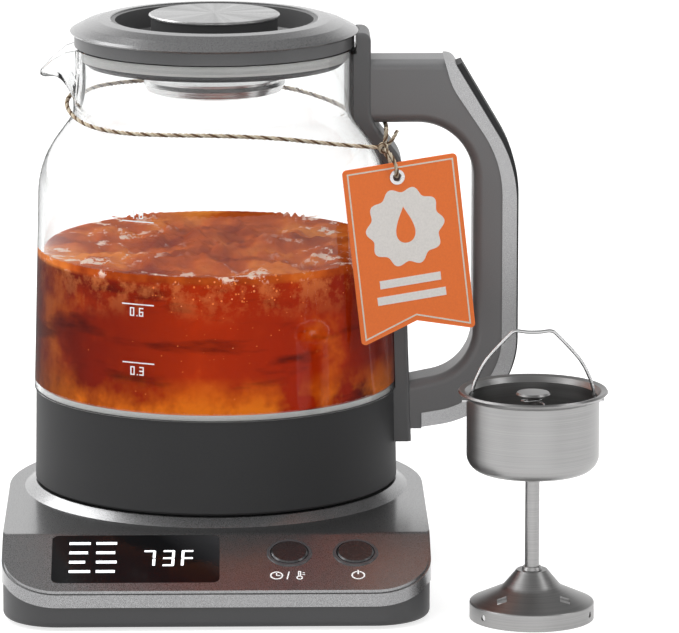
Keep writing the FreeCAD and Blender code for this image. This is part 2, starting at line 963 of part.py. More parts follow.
def glass_blank(name, inset, bottom, top):
    """The jug's outer form, drawn in by inset, as one solid with rounded corners."""
    inset = as_size(inset)
    body = new_body(name)
    drop = z.corner_drop * inset / z.glass_wall
    shoulder = (z.shoulder_radius - inset, z.shoulder_height - drop)
    neck = (z.neck_radius - inset, neck_height - drop)
    feature = revolve(
        body,
        name + "_turn",
        [
            (0, bottom),
            (z.glass_foot_radius - inset, bottom),
            shoulder,
            neck,
            (z.neck_radius - inset, top),
            (0, top),
        ],
    )
    first = fillet(
        body, name + "_shoulder", feature, [ring_at(*shoulder)], z.shoulder_fillet - inset
    )
    fillet(body, name + "_neck", first, [ring_at(*neck)], z.neck_fillet + inset)
    return body


def spout_loft(name, inset):
    """A trough that narrows to the pouring tip, drawn in by inset."""
    reach = z.spout_reach.value
    tip = spout_tip_height.value
    half = z.spout_half_width.value
    root = spout_root.value
    rim = rim_height.value
    neck = z.neck_radius.value
    inset = as_size(inset).value
    span = reach - neck
    stations = [
        (neck - 9, half * 1.05, root - 7.5, rim + 4),
        (neck - 0.8, half * 0.88, root - 1.0, rim + 3.4),
        (neck + span * 0.14, half * 0.79, root + 4.2, rim + 2.2),
        (neck + span * 0.36, half * 0.62, tip - 1.9, rim + 0.4),
        (neck + span * 0.68, half * 0.34, tip - 0.5, rim - 2.6),
        (reach - inset * 0.4, half * 0.14, tip + 0.1, tip + 4.0),
    ]
    wires = []
    for out, width, low, high in stations:
        width = max(width - inset, 0.5)
        low = low + inset * 1.05
        belly = low + min(width, (high - low) * 0.6)
        left = FreeCAD.Vector(-out, -width, belly)
        right = FreeCAD.Vector(-out, width, belly)
        bottom = FreeCAD.Vector(-out, 0, low)
        up_right = FreeCAD.Vector(-out, width, high)
        up_left = FreeCAD.Vector(-out, -width, high)
        edges = [
            Part.Arc(left, bottom, right).toShape(),
            Part.LineSegment(right, up_right).toShape(),
            Part.LineSegment(up_right, up_left).toShape(),
            Part.LineSegment(up_left, left).toShape(),
        ]
        wires.append(Part.Wire(edges))
    thing = doc.addObject("Part::Feature", name)
    thing.Shape = Part.makeLoft(wires, True, False)
    return thing


def spout_top(name):
    """What is cut off above the spout's falling lip."""
    rim = rim_height
    body = new_body(name)
    start = z.neck_radius - 3
    corners = [
        (-start, rim),
        (-z.neck_radius - 2.5, rim - 1.4),
        (-z.neck_radius - 7.5, rim - 4.9),
        (-z.spout_reach - 0.6, spout_tip_height + 0.9),
        (-z.spout_reach - 6, spout_tip_height),
        (-z.spout_reach - 6, rim + 12),
        (-start, rim + 12),
    ]
    upright_plate(body, name + "_cut", corners, z.spout_half_width + 4)
    return body


def jug_glass():
    """Blown glass body, open at both ends, with the pinched spout."""
    outer = glass_blank("glass_outer", 0, z.skirt_top, rim_height)
    inner = glass_blank("glass_inner", z.glass_wall, z.skirt_top - 1, rim_height + 1)
    spout = spout_loft("spout_outer", 0)
    trough = spout_loft("spout_inner", z.glass_wall * 0.75)
    body = joined("glass_with_spout", [outer, spout])
    above = block(
        "above_rim",
        (z.neck_radius * 2, z.neck_radius * 2, 20),
        (-z.neck_radius, -z.neck_radius, rim_height),
    )
    cuts = joined("glass_cuts", [inner, trough, spout_top("spout_lip"), above])
    return boolean("Part::Cut", "jug_glass", body, cuts)


def jug_lower_pieces():
    """Skirt, bottom cover, heating plate and what hangs under it."""
    inside = z.skirt_top_radius - z.skirt_wall
    skirt = turned(
        "skirt_shell",
        [
            (inside, z.skirt_bottom),
            (z.skirt_bottom_radius - 0.8, z.skirt_bottom),
            (z.skirt_bottom_radius, z.skirt_bottom + 0.8),
            (z.skirt_top_radius, z.skirt_top),
            (inside, z.skirt_top),
        ],
    )
    socket = z.collar_outer + z.running_gap * 1.5 + 5
    low = z.deck_height + z.platform_rise - z.platform_recess + z.running_gap
    rim_inner = z.foot_rim_outer - z.foot_rim_width
    cover = turned(
        "jug_bottom_cover",
        [
            (socket, z.cover_height),
            (rim_inner, z.cover_height),
            (rim_inner, low),
            (z.foot_rim_outer, low),
            (z.foot_rim_outer, z.cover_height),
            (inside, z.cover_height),
            (inside, z.cover_height + z.cover_plate),
            (socket, z.cover_height + z.cover_plate),
        ],
    )
    plate_edge = z.glass_foot_radius - z.glass_wall - z.seal_width
    plate_top = z.plate_height + z.plate_thickness
    plate = turned(
        "heating_plate",
        [
            (z.probe_radius, z.plate_height),
            (inside, z.plate_height),
            (inside, z.skirt_top - 1.2),
            (plate_edge, z.skirt_top - 1.2),
            (plate_edge, z.skirt_top),
            (plate_edge - 3, plate_top),
            (z.probe_radius, plate_top),
        ],
    )
    seal = turned(
        "plate_seal",
        [
            (plate_edge, z.skirt_top - 1.2),
            (inside, z.skirt_top - 1.2),
            (inside, z.skirt_top),
            (z.glass_foot_radius - z.glass_wall - 0.15, z.skirt_top),
            (z.glass_foot_radius - z.glass_wall - 0.15, z.skirt_top + z.seal_height - 0.6),
            (plate_edge, z.skirt_top + z.seal_height - 1.6),
        ],
    )
    tube = z.element_tube
    element = turned(
        "heating_element",
        [
            (z.element_radius - tube, z.plate_height - tube * 2),
            (z.element_radius + tube, z.plate_height - tube * 2),
            (z.element_radius + tube, z.plate_height),
            (z.element_radius - tube, z.plate_height),
        ],
    )
    probe = turned(
        "temperature_probe",
        [
            (0, z.plate_height - 5),
            (z.probe_radius, z.plate_height - 5),
            (z.probe_radius, plate_top + z.probe_height - 2),
            (z.probe_radius - 2, plate_top + z.probe_height),
            (0, plate_top + z.probe_height),
        ],
    )
    roof = z.tower_top + 5.8
    cutout = turned(
        "thermal_cutout",
        [
            (0, roof),
            (z.cutout_radius, roof),
            (z.cutout_radius, z.plate_height - 5),
            (0, z.plate_height - 5),
        ],
    )
    bracket_parts = []
    for number, angle in enumerate((30, 150, 270), start=1):
        side = z.cover_screw_circle * round(math.cos(math.radians(angle)), 6)
        back = z.cover_screw_circle * round(math.sin(math.radians(angle)), 6)
        height = z.plate_height - z.cover_height - z.cover_plate
        place = (side, back, z.cover_height + z.cover_plate)
        bracket_parts.append(cylinder(f"cover_screw_{number}", 2.5, height, place))
    posts = joined("jug_bottom_screws", bracket_parts)
    return skirt, [cover, plate, seal, element, probe, cutout, posts]


# Corner points of the handle's side view, from the top of the arm to the lower arm.
trim_outer = z.handle_reach - z.pad_proud
grip_outer = z.handle_reach - z.trim_width
grip_edge = [
    (grip_outer - 21.0, arm_top),
    (grip_outer - 18.2, arm_top - 9.8),
    (grip_outer, arm_top - 36.9),
    (grip_outer, z.lower_arm_bottom + 10.6),
    (z.trim_end, z.lower_arm_bottom + 5.8),
]
trim_edge = [
    (trim_outer - 23.1, arm_top),
    (trim_outer, arm_top - 38.6),
    (trim_outer, z.lower_arm_bottom + 5.8),
    (z.trim_end, z.lower_arm_bottom + 0.6),
]
pad_edge = [
    (z.handle_reach - 20.6, arm_top - 1.6),
    (z.handle_reach, arm_top - 36.6),
    (z.handle_reach, z.lower_arm_bottom + 5.2),
    (z.trim_end + 1.5, z.lower_arm_bottom),
]


def handle_spine():
    """The strap that carries the handle: it follows the jug's side from lid to skirt."""
    body = new_body("spine_blank")
    inside = z.neck_radius - 8
    feature = upright_plate(
        body,
        "spine_plate",
        [
            (inside, z.spine_bottom),
            (z.spine_foot_reach, z.spine_bottom),
            (z.spine_shoulder_reach, z.shoulder_height + 2),
            (z.spine_neck_reach, neck_height - 0.6),
            (z.spine_neck_reach, spine_top),
            (inside, spine_top),
        ],
        z.spine_half_width,
    )
    first = fillet(
        body,
        "spine_bends",
        feature,
        [
            corner_at(z.spine_shoulder_reach, z.shoulder_height + 2),
            corner_at(z.spine_neck_reach, neck_height - 0.6),
        ],
        12.0,
    )
    crown = fillet(
        body, "spine_crown", first, [corner_at(z.spine_neck_reach, spine_top)], 3.2
    )
    half = z.spine_half_width.value
    low = z.spine_bottom.value
    reach = z.neck_radius.value + 2

    def outer_rim(middle, edge):
        on_side = abs(abs(middle.y) - half) < 1e-4
        run = edge.Vertexes[0].Point - edge.Vertexes[-1].Point
        flat = abs(run.z) < 1e-6
        return on_side and middle.x > reach and middle.z > low + 0.01 and not flat

    fillet(body, "spine_rounding", crown, [outer_rim], 1.6)
    clear = glass_blank("glass_clearance", -z.glass_gap, z.skirt_top, lid_edge_height + 5)
    lid_room = cylinder(
        "lid_room", z.lid_radius + z.lid_gap, 20, (0, 0, rim_height - 2)
    )
    inside_skirt = turned(
        "skirt_room",
        [
            (0, z.spine_bottom - 5),
            (z.skirt_bottom_radius, z.skirt_bottom + 0.8),
            (z.skirt_top_radius, z.skirt_top),
            (z.skirt_top_radius, z.skirt_top + 1),
            (0, z.skirt_top + 1),
        ],
    )
    room = joined("spine_room", [clear, lid_room, inside_skirt])
    return boolean("Part::Cut", "spine_solid", body, room)


def handle_grip(spine):
    """Soft dark grip: the upper arm, the hand opening and the lower arm."""
    body = new_body("grip_blank")
    inner_low = (opening_reach, z.lower_arm_top + 5.0)
    inner_high = (opening_reach, arm_bottom)
    start = z.spine_neck_reach - 1
    foot = z.spine_foot_reach - 3
    feature = upright_plate(
        body,
        "grip_plate",
        [(start, arm_top)]
        + grip_edge
        + [
            (z.trim_end, z.lower_arm_bottom),
            (foot, z.lower_arm_bottom),
            (foot, z.lower_arm_top),
            inner_low,
            inner_high,
            (start, arm_bottom),
        ],
        z.grip_half_depth,
    )
    upper = fillet(body, "grip_top_bend", feature, [corner_at(*grip_edge[1])], z.grip_top_bend)
    middle = fillet(
        body, "grip_side_bend", upper, [corner_at(*grip_edge[2])], z.grip_side_bend
    )
    lower = fillet(body, "grip_low_bend", middle, [corner_at(*grip_edge[3])], z.grip_low_bend)
    top_bend = lesser(z.opening_top_bend, opening_reach - z.spine_shoulder_reach - 3)
    low_bend = lesser(z.opening_low_bend, opening_reach - z.spine_foot_reach - 2)
    opening = fillet(body, "opening_top", lower, [corner_at(*inner_high)], top_bend)
    last = fillet(body, "opening_low", opening, [corner_at(*inner_low)], low_bend)
    half = z.grip_half_depth.value
    reach = opening_reach.value
    top = arm_top.value
    limit = z.lower_arm_bottom.value + 10
    edge_x = grip_edge[0][0].value

    def on_opening(middle_point, edge):
        if abs(abs(middle_point.y) - half) > 1e-4:
            return False
        along_top = abs(middle_point.z - top) < 1e-4 and middle_point.x < edge_x
        inside = middle_point.x < reach + 0.01 and limit < middle_point.z < top - 20
        run = edge.Vertexes[0].Point - edge.Vertexes[-1].Point
        upright_end = abs(run.x) < 1e-6 and middle_point.x < reach - 1
        return (along_top or inside) and not upright_end

    fillet(body, "grip_rounding", last, [on_opening], z.grip_rounding)
    return boolean("Part::Cut", "grip_solid", body, spine)


def trim_strip(name, inner, outer, half_depth, bends):
    """A strip between two edge lines of the handle, with its bends rounded."""
    body = new_body(name)
    last = upright_plate(body, name + "_plate", inner + outer[::-1], half_depth)
    for number, (corner, radius) in enumerate(bends, start=1):
        last = fillet(body, f"{name}_bend_{number}", last, [corner_at(*corner)], radius)
    return body


def handle_trim():
    """Silver band on the outside of the handle, and the dark insert down its back."""
    band = trim_strip(
        "trim_blank",
        grip_edge,
        trim_edge,
        z.grip_half_depth + z.trim_proud,
        [
            (grip_edge[1], z.grip_top_bend),
            (grip_edge[2], z.grip_side_bend),
            (grip_edge[3], z.grip_low_bend),
            (trim_edge[0], 4.0),
            (trim_edge[1], 48.0),
            (trim_edge[2], 32.0),
        ],
    )
    depth = z.pad_depth
    inner = [
        (pad_edge[0][0] - depth * 1.1, pad_edge[0][1] - depth * 0.4),
        (pad_edge[1][0] - depth, pad_edge[1][1] - depth * 0.3),
        (pad_edge[2][0] - depth, pad_edge[2][1] + depth * 0.9),
        (pad_edge[3][0], pad_edge[3][1] + depth),
    ]
    insert = trim_strip(
        "handle_back_insert",
        inner,
        pad_edge,
        z.pad_half_depth,
        [(inner[1], 46.0), (inner[2], 30.0), (pad_edge[1], 48.0), (pad_edge[2], 32.0)],
    )
    return boolean("Part::Cut", "handle_trim", band, insert), insert


def handle_screws():
    """Two screws from inside the skirt through the strap into the lower arm."""
    rods = []
    inside = z.skirt_top_radius - z.skirt_wall
    for number, height in enumerate((z.lower_arm_bottom + 3, z.lower_arm_bottom + 8.8), 1):
        shank = cylinder(f"handle_screw_{number}", z.screw_radius, z.skirt_wall + 9)
        head = cylinder(f"handle_screw_head_{number}", z.screw_head, 2.4)
        for rod, start in ((shank, inside - 1), (head, inside - 2.4)):
            rod.Placement = FreeCAD.Placement(
                FreeCAD.Vector(0, 0, 0), FreeCAD.Rotation(FreeCAD.Vector(0, 1, 0), 90)
            )
            bind(rod, "Placement.Base.x", start)
            bind(rod, "Placement.Base.z", height)
            rods.append(rod)
    return joined("handle_screws", rods)


def lid_pieces():
    """Ring, band, dish, knob, plug, gasket and steel cup of the lid."""
    skin = z.lid_skin
    base = rim_height + z.lid_gap
    ring = turned(
        "lid_ring",
        [
            (z.lid_rim_radius, lid_rim_height - skin),
            (z.lid_rim_radius, lid_rim_height - 0.2),
            (z.lid_rim_radius + 0.5, lid_rim_height),
            (z.lid_rim_radius + 4.5, lid_rim_height - 0.35),
            (z.lid_rim_radius + 9.5, lid_rim_height - 1.75),
            (z.lid_radius - 1.2, lid_edge_height + 0.75),
            (z.lid_radius, lid_edge_height),
            (z.lid_radius - 0.5, lid_edge_height - 0.6),
            (z.band_radius, lid_edge_height - 0.8),
            (z.lid_rim_radius + 6, lid_edge_height - 0.8),
        ],
    )
    under = lid_edge_height - 0.8
    inner = z.band_radius - z.band_wall
    dish_outer = z.lid_rim_radius
    band = turned(
        "lid_band",
        [
            (dish_outer, base),
            (z.band_radius, base),
            (z.band_radius, under),
            (inner, under),
            (inner, base + 1.6),
            (dish_outer, base + 1.6),
        ],
    )
    wall = z.dish_wall
    dish = turned(
        "lid_dish",
        [
            (0, dish_floor - wall),
            (dish_outer, dish_floor - wall),
            (dish_outer, lid_rim_height - skin),
            (dish_outer - 0.01, lid_rim_height - 0.4),
            (dish_outer - wall, lid_rim_height - 0.6),
            (dish_outer - wall, dish_floor + 1),
            (dish_outer - wall - 1, dish_floor),
            (0, dish_floor),
        ],
    )
    cap_low = knob_top - z.knob_plate
    stem = turned(
        "lid_knob_stem",
        [
            (0, dish_floor),
            (z.knob_stem_radius - 1.5, dish_floor),
            (z.knob_stem_radius, dish_floor + 2),
            (z.knob_stem_radius, cap_low),
            (0, cap_low),
        ],
    )
    cap = turned(
        "lid_knob_cap",
        [
            (0, cap_low),
            (z.knob_radius - 0.4, cap_low),
            (z.knob_radius, cap_low + 0.4),
            (z.knob_radius, knob_top - 0.6),
            (z.knob_radius - 0.6, knob_top - 0.2),
            (0, knob_top),
        ],
    )
    plug_inner = z.core_radius
    floor = dish_floor - wall
    plug = turned(
        "lid_plug",
        [
            (plug_inner, plug_bottom + 0.6),
            (z.plug_radius - 1.2, plug_bottom),
            (z.plug_radius, plug_bottom + 1.2),
            (z.plug_radius, base),
            (dish_outer + 0, base),
            (dish_outer + 0, floor),
            (z.core_radius, floor),
        ],
    )
    seal_low = plug_bottom + 2.2
    gasket_reach = z.plug_radius + z.gasket_width
    gasket = turned(
        "lid_gasket",
        [
            (z.plug_radius, seal_low),
            (gasket_reach - 0.5, seal_low),
            (gasket_reach, seal_low + 1.0),
            (gasket_reach - 0.6, seal_low + 2.0),
            (gasket_reach, seal_low + 3.0),
            (gasket_reach - 0.5, seal_low + 4.0),
            (z.plug_radius, seal_low + 4.0),
        ],
    )
    core = turned(
        "lid_core_cup",
        [
            (0, core_bottom),
            (z.core_radius - 3.5, core_bottom),
            (z.core_radius - 1.2, core_bottom + 0.8),
            (z.core_radius, core_bottom + 3.2),
            (z.core_radius - 0.5, core_bottom + 4.6),
            (z.core_radius, core_bottom + 5.6),
            (z.core_radius, floor),
            (z.core_radius - 1, floor),
            (z.core_radius - 1.2, core_bottom + 3.4),
            (z.core_radius - 4, core_bottom + 1),
            (0, core_bottom + 1),
        ],
    )
    return [ring, band, dish, stem, cap, plug, gasket, core]


def at_infuser(thing):
    """Stand a piece at the infuser's place on the worktop."""
    bind(thing, "Placement.Base.x", z.infuser_side)
    bind(thing, "Placement.Base.y", -z.infuser_front)
    return thing


def infuser_bell():
    """Bell foot with four square holes and a hub for the tube."""
    sheet_metal = z.metal_sheet
    body = new_body("bell_shell")
    knee = z.bell_shoulder
    feature = revolve(
        body,
        "bell_turn",
        [
            (z.bell_radius - sheet_metal, 0),
            (z.bell_radius, 0),
            (z.bell_radius, z.bell_band),
            (knee, z.bell_band + 5.2),
            (z.bell_hub, z.bell_height),
            (z.tube_radius, z.bell_height),
            (z.tube_radius, z.bell_height - 4.5),
            (z.bell_hub - 1.4, z.bell_height - 4.5),
            (knee - sheet_metal, z.bell_band + 4.4),
            (z.bell_radius - sheet_metal, z.bell_band - 0.7),
        ],
    )
    rounded = fillet(
        body, "bell_flare", feature, [ring_at(knee, z.bell_band + 5.2)], 6.0
    )
    fillet(body, "bell_edge", rounded, [ring_at(z.bell_radius, z.bell_band)], 0.6)
    at_infuser(body)
    holes = []
    for number in range(4):
        turn = 45 + 90 * number
        hole = block(f"bell_hole_{number + 1}", (z.bell_hole, z.bell_hole, 12), (0, 0, 2))
        reach = 15.5
        offset = z.bell_hole.value / math.sqrt(2)
        angle = math.radians(turn)
        hole.Placement = FreeCAD.Placement(
            FreeCAD.Vector(0, 0, 0), FreeCAD.Rotation(FreeCAD.Vector(0, 0, 1), turn - 45)
        )
        bind(hole, "Placement.Base.x", z.infuser_side + (reach - offset) * math.cos(angle))
        bind(hole, "Placement.Base.y", (reach - offset) * math.sin(angle) - z.infuser_front)
        bind(hole, "Placement.Base.z", 2)
        holes.append(hole)
    for number, turn in enumerate((216, 336, 96), start=1):
        angle = math.radians(turn)
        reach = z.bell_radius.value - 2
        slot = cylinder(f"bell_slot_{number}", 1.1, 4)
        slot.Placement = FreeCAD.Placement(
            FreeCAD.Vector(0, 0, 0),
            FreeCAD.Rotation(
                FreeCAD.Vector(0, 0, 1), FreeCAD.Vector(math.cos(angle), math.sin(angle), 0)
            ),
        )
        bind(slot, "Placement.Base.x", z.infuser_side + reach * math.cos(angle))
        bind(slot, "Placement.Base.y", reach * math.sin(angle) - z.infuser_front)
        bind(slot, "Placement.Base.z", z.bell_band / 2)
        holes.append(slot)
    return boolean("Part::Cut", "infuser_bell", body, joined("bell_holes", holes))


def infuser_pieces():
    """Tube, collar, basket and cap of the infuser."""
    bore = z.tube_radius - z.tube_wall
    start = z.bell_height - 4.5
    tube = turned(
        "infuser_tube",
        [
            (bore, start),
            (z.tube_radius, start),
            (z.tube_radius, z.tube_top),
            (bore, z.tube_top),
        ],
    )
    collar = turned(
        "tube_collar",
        [
            (z.tube_radius, z.bell_height),
            (z.collar_radius, z.bell_height),
            (z.collar_radius - 0.4, z.bell_height + 1.1),
            (z.tube_radius, z.bell_height + 1.1),
        ],
    )
    sheet_metal = z.metal_sheet
    basket = new_body("basket_shell")
    low = z.basket_bottom
    inner_low = (z.basket_radius - sheet_metal, low + sheet_metal)
    outer_low = (z.basket_radius, low)
    feature = revolve(
        basket,
        "basket_turn",
        [
            (z.tube_radius, low),
            outer_low,
            (z.basket_radius, z.basket_top - 2.2),
            (z.basket_lip - 0.6, z.basket_top - 0.9),
            (z.basket_lip, z.basket_top - 0.2),
            (z.basket_lip - 0.5, z.basket_top + 0.5),
            (z.basket_radius + 0.6, z.basket_top),
            (z.basket_radius - sheet_metal, z.basket_top - 1.8),
            inner_low,
            (z.tube_radius, low + sheet_metal),
        ],
    )
    outside = fillet(basket, "basket_corner_out", feature, [ring_at(*outer_low)], z.basket_corner)
    fillet(
        basket,
        "basket_corner_in",
        outside,
        [ring_at(*inner_low)],
        z.basket_corner - sheet_metal,
    )
    at_infuser(basket)
    seat = z.tube_top - 9
    washer = turned(
        "spring_seat",
        [
            (z.tube_radius, seat),
            (z.spring_radius + 0.8, seat),
            (z.spring_radius + 0.8, seat + 0.9),
            (z.tube_radius, seat + 0.9),
        ],
    )
    under = z.cap_top - z.cap_plate
    post = z.cap_post
    cap = turned(
        "infuser_cap",
        [
            (0, z.tube_top - 6),
            (post, z.tube_top - 6),
            (post, under),
            (z.cap_radius - 0.6, under),
            (z.cap_radius, under + 0.5),
            (z.cap_radius - 0.5, z.cap_top - 0.1),
            (0, z.cap_top),
        ],
    )
    for piece in (tube, collar, washer, cap):
        at_infuser(piece)
    return basket, [tube, collar, washer, cap]


def biarc(start, start_way, end, end_way):
    """Two arcs that leave start and reach end along the given directions."""
    chord = end - start
    ways = start_way + end_way
    square = ways.dot(ways)
    if abs(square - 4) < 1e-9:
        reach = chord.dot(chord) / (4 * chord.dot(end_way))
    else:
        lean = chord.dot(ways)
        reach = (-lean + math.sqrt(lean * lean + (4 - square) * chord.dot(chord))) / (4 - square)
    middle = (start + end + (start_way - end_way) * reach) * 0.5
    arcs = []
    for tip, way, other in ((start, start_way, middle), (end, end_way * -1, middle)):
        span = other - tip
        bow = way * span.Length * span.Length - span * span.dot(way)
        if bow.Length < 1e-7:
            arcs.append(Part.LineSegment(tip, other))
            continue
        lean = math.acos(max(-1.0, min(1.0, span.dot(way) / span.Length)))
        across = bow.normalize()
        height = span.Length / 2 * math.tan(lean / 2)
        arcs.append(Part.Arc(tip, (tip + other) * 0.5 + across * height, other))
    first = arcs[0].toShape()
    second = Part.Arc(
        middle, arcs[1].value((arcs[1].FirstParameter + arcs[1].LastParameter) / 2), end
    ).toShape()
    return [first, second]


def spring_path():
    """Centre line of the infuser's spring: a helix that widens towards the cap."""
    turns = int(round(z.spring_turns.value))
    wire = z.spring_wire.value
    low = z.tube_top.value - 9 + 0.9 + wire
    high = z.cap_top.value - z.cap_plate.value - wire
    big = z.spring_radius.value
    small = big - 0.8
    steps = turns * 4
    side = z.infuser_side.value
    front = -z.infuser_front.value

    def place(step):
        share = step / steps
        angle = 2 * math.pi * turns * share
        reach = small + (big - small) * share
        return FreeCAD.Vector(
            side + reach * math.cos(angle), front + reach * math.sin(angle),
            low + (high - low) * share,
        )

    def way(step):
        nudge = 1e-4
        return (place(step + nudge) - place(step - nudge)).normalize()

    edges = []
    for step in range(steps):
        edges.extend(biarc(place(step), way(step), place(step + 1), way(step + 1)))
    return Part.Wire(edges), place, way


def pipe(name, wire, start, way, radius):
    """A round tube along a wire."""
    section = Part.Wire([Part.makeCircle(radius, start, way)])
    shell = Part.BRepOffsetAPI.MakePipeShell(wire)
    shell.add(section)
    shell.build()
    shell.makeSolid()
    thing = doc.addObject("Part::Feature", name)
    thing.Label = name
    solid = shell.shape()
    expected = math.pi * radius * radius * wire.Length
    if abs(solid.Volume) < 0.9 * expected or abs(solid.Volume) > 1.1 * expected:
        raise RuntimeError(f"{name} has volume {solid.Volume}, not {expected}")
    thing.Shape = solid if solid.Volume > 0 else solid.reversed()
    return thing


def infuser_spring():
    """The cap's return spring."""
    wire, place, way = spring_path()
    least = (z.cap_top.value - z.tube_top.value + 9) / z.spring_turns.value
    print("spring: least gap between turns", round(least - 2 * z.spring_wire.value, 2), "mm")
    return pipe("infuser_spring", wire, place(0), way(0), z.spring_wire.value)


def rounded_route(name, points, share=0.45):
    """Straight runs joined by tangent arcs through a list of points."""
    points = [FreeCAD.Vector(*point) for point in points]
    edges = []
    radii = []
    last = points[0]
    for before, corner, after in zip(points, points[1:], points[2:]):
        into = (corner - before)
        out = (after - corner)
        run = min(into.Length, out.Length)
        into.normalize()
        out.normalize()
        turn = math.acos(max(-1.0, min(1.0, into.dot(out))))
        cut = share * run
        radii.append(cut / math.tan(turn / 2))
        first = corner - into * cut
        second = corner + out * cut
        inward = (out - into).normalize()
        radius = radii[-1]
        middle = corner + inward * (radius / math.cos(turn / 2) - radius)
        edges.append(Part.LineSegment(last, first).toShape())
        edges.append(Part.Arc(first, middle, second).toShape())
        last = second
    edges.append(Part.LineSegment(last, points[-1]).toShape())
    print(f"{name}: bend radii from {min(radii):.1f} mm")
    return Part.Wire(edges), points


def cord_tube(name, points, radius):
    """A cord's plain solid: one tube along its rounded route."""
    wire, points = rounded_route(name, points)
    return pipe(name, wire, points[0], points[1] - points[0], radius)


def infuser_bail():
    """Wire bail: hooked into the basket wall at both sides, with a flat grip on top."""
    side = z.infuser_side.value
    front = -z.infuser_front.value
    pivot = z.basket_top.value - z.bail_drop.value
    top = pivot + z.bail_rise.value + z.bail_drop.value
    inner = z.basket_radius.value - 1.7
    outer = z.basket_radius.value + 1.6
    grip = z.bail_grip.value
    half = [
        (outer, pivot),
        (inner, pivot),
        (inner - 0.7, pivot + 5.6),
        (inner - 4.2, pivot + 13.4),
        (inner - 9.4, pivot + 19.4),
        (grip, top),
    ]
    points = [(side - across, front, up) for across, up in half]
    points.append((side - grip * 0.4, front + 0.3, top - 0.8))
    points.append((side + grip * 0.4, front - 0.3, top - 0.7))
    points.extend((side + across, front, up) for across, up in half[::-1])
    return cord_tube("infuser_bail", points, z.bail_wire.value)


def bail_holes():
    """A rod through both walls of the basket, for the holes that the bail's ends turn in."""
    reach = z.basket_radius + 3
    start = (z.infuser_side - reach, -z.infuser_front, z.basket_top - z.bail_drop)
    rod = cylinder("bail_hole_tool", z.bail_wire + z.bail_play, reach * 2, start)
    rod.Placement = FreeCAD.Placement(
        rod.Placement.Base, FreeCAD.Rotation(FreeCAD.Vector(0, 1, 0), 90)
    )
    return rod


# The twine's route round the neck, from one side of its knot to the other.
twine_points = [
    (57.6, -36.9, 157.2),
    (48.4, -38.5, 158.0),
    (36.5, -43.6, 160.2),
    (21.0, -49.9, 162.9),
    (2.5, -53.5, 164.4),
    (-16.5, -50.9, 164.2),
    (-33.5, -42.0, 163.4),
    (-45.9, -28.4, 163.9),
    (-52.4, -11.5, 166.0),
    (-53.4, 6.0, 168.2),
    (-48.2, 23.6, 168.9),
    (-37.4, 38.6, 168.4),
    (-22.0, 48.9, 167.7),
    (-4.0, 53.4, 167.2),
    (14.5, 51.8, 166.3),
    (31.5, 44.0, 164.8),
    (45.0, 33.5, 162.3),
    (54.6, 22.6, 160.3),
    (60.9, 10.5, 159.4),
    (61.6, -3.5, 159.2),
    (61.2, -16.5, 158.7),
    (60.6, -27.0, 158.0),
    (60.0, -34.9, 157.2),
]
knot_place = (59.5, -36.8, 157.0)
# The tag's string from the knot over the tag's top edge, through its hole and back up,
# as distances across, up and outward from the hole.
string_steps = [
    (-2.2, 9.6, -4.2),
    (-1.6, 8.9, -1.2),
    (-0.9, 7.2, 1.7),
    (-0.2, 2.6, 2.5),
    (0.0, -0.2, 0.3),
    (0.0, 0.4, -2.6),
    (-0.3, 3.2, -3.6),
    (-1.8, 7.4, -5.3),
    (-2.4, 8.9, -5.6),
]


def tag_frame():
    """Hole centre, across, up and outward directions of the hanging tag."""
    yaw = math.radians(z.tag_yaw.value)
    tilt = math.radians(z.tag_tilt.value)
    across = FreeCAD.Vector(math.cos(yaw), math.sin(yaw), 0)
    out = FreeCAD.Vector(math.sin(yaw), -math.cos(yaw), 0)
    up = FreeCAD.Vector(0, 0, 1)
    across, up = (
        across * math.cos(tilt) + up * math.sin(tilt),
        up * math.cos(tilt) - across * math.sin(tilt),
    )
    hole = FreeCAD.Vector(z.tag_side.value, -z.tag_front.value, z.tag_hole_height.value)
    return hole, across, up, out


def at_tag(thing):
    """Place a piece whose Z is the tag's outward direction at the tag's hole."""
    yaw = z.tag_yaw
    upright = FreeCAD.Rotation(FreeCAD.Vector(1, 0, 0), 90)
    turn = FreeCAD.Rotation(FreeCAD.Vector(0, 0, 1), yaw.value)
    lean = FreeCAD.Rotation(FreeCAD.Vector(0, 0, 1), z.tag_tilt.value)
    thing.Placement = FreeCAD.Placement(
        FreeCAD.Vector(z.tag_side.value, -z.tag_front.value, z.tag_hole_height.value),
        turn.multiply(upright).multiply(lean),
    )
    bind(thing, "Placement.Base.x", z.tag_side)
    bind(thing, "Placement.Base.y", -z.tag_front)
    bind(thing, "Placement.Base.z", z.tag_hole_height)
    return thing


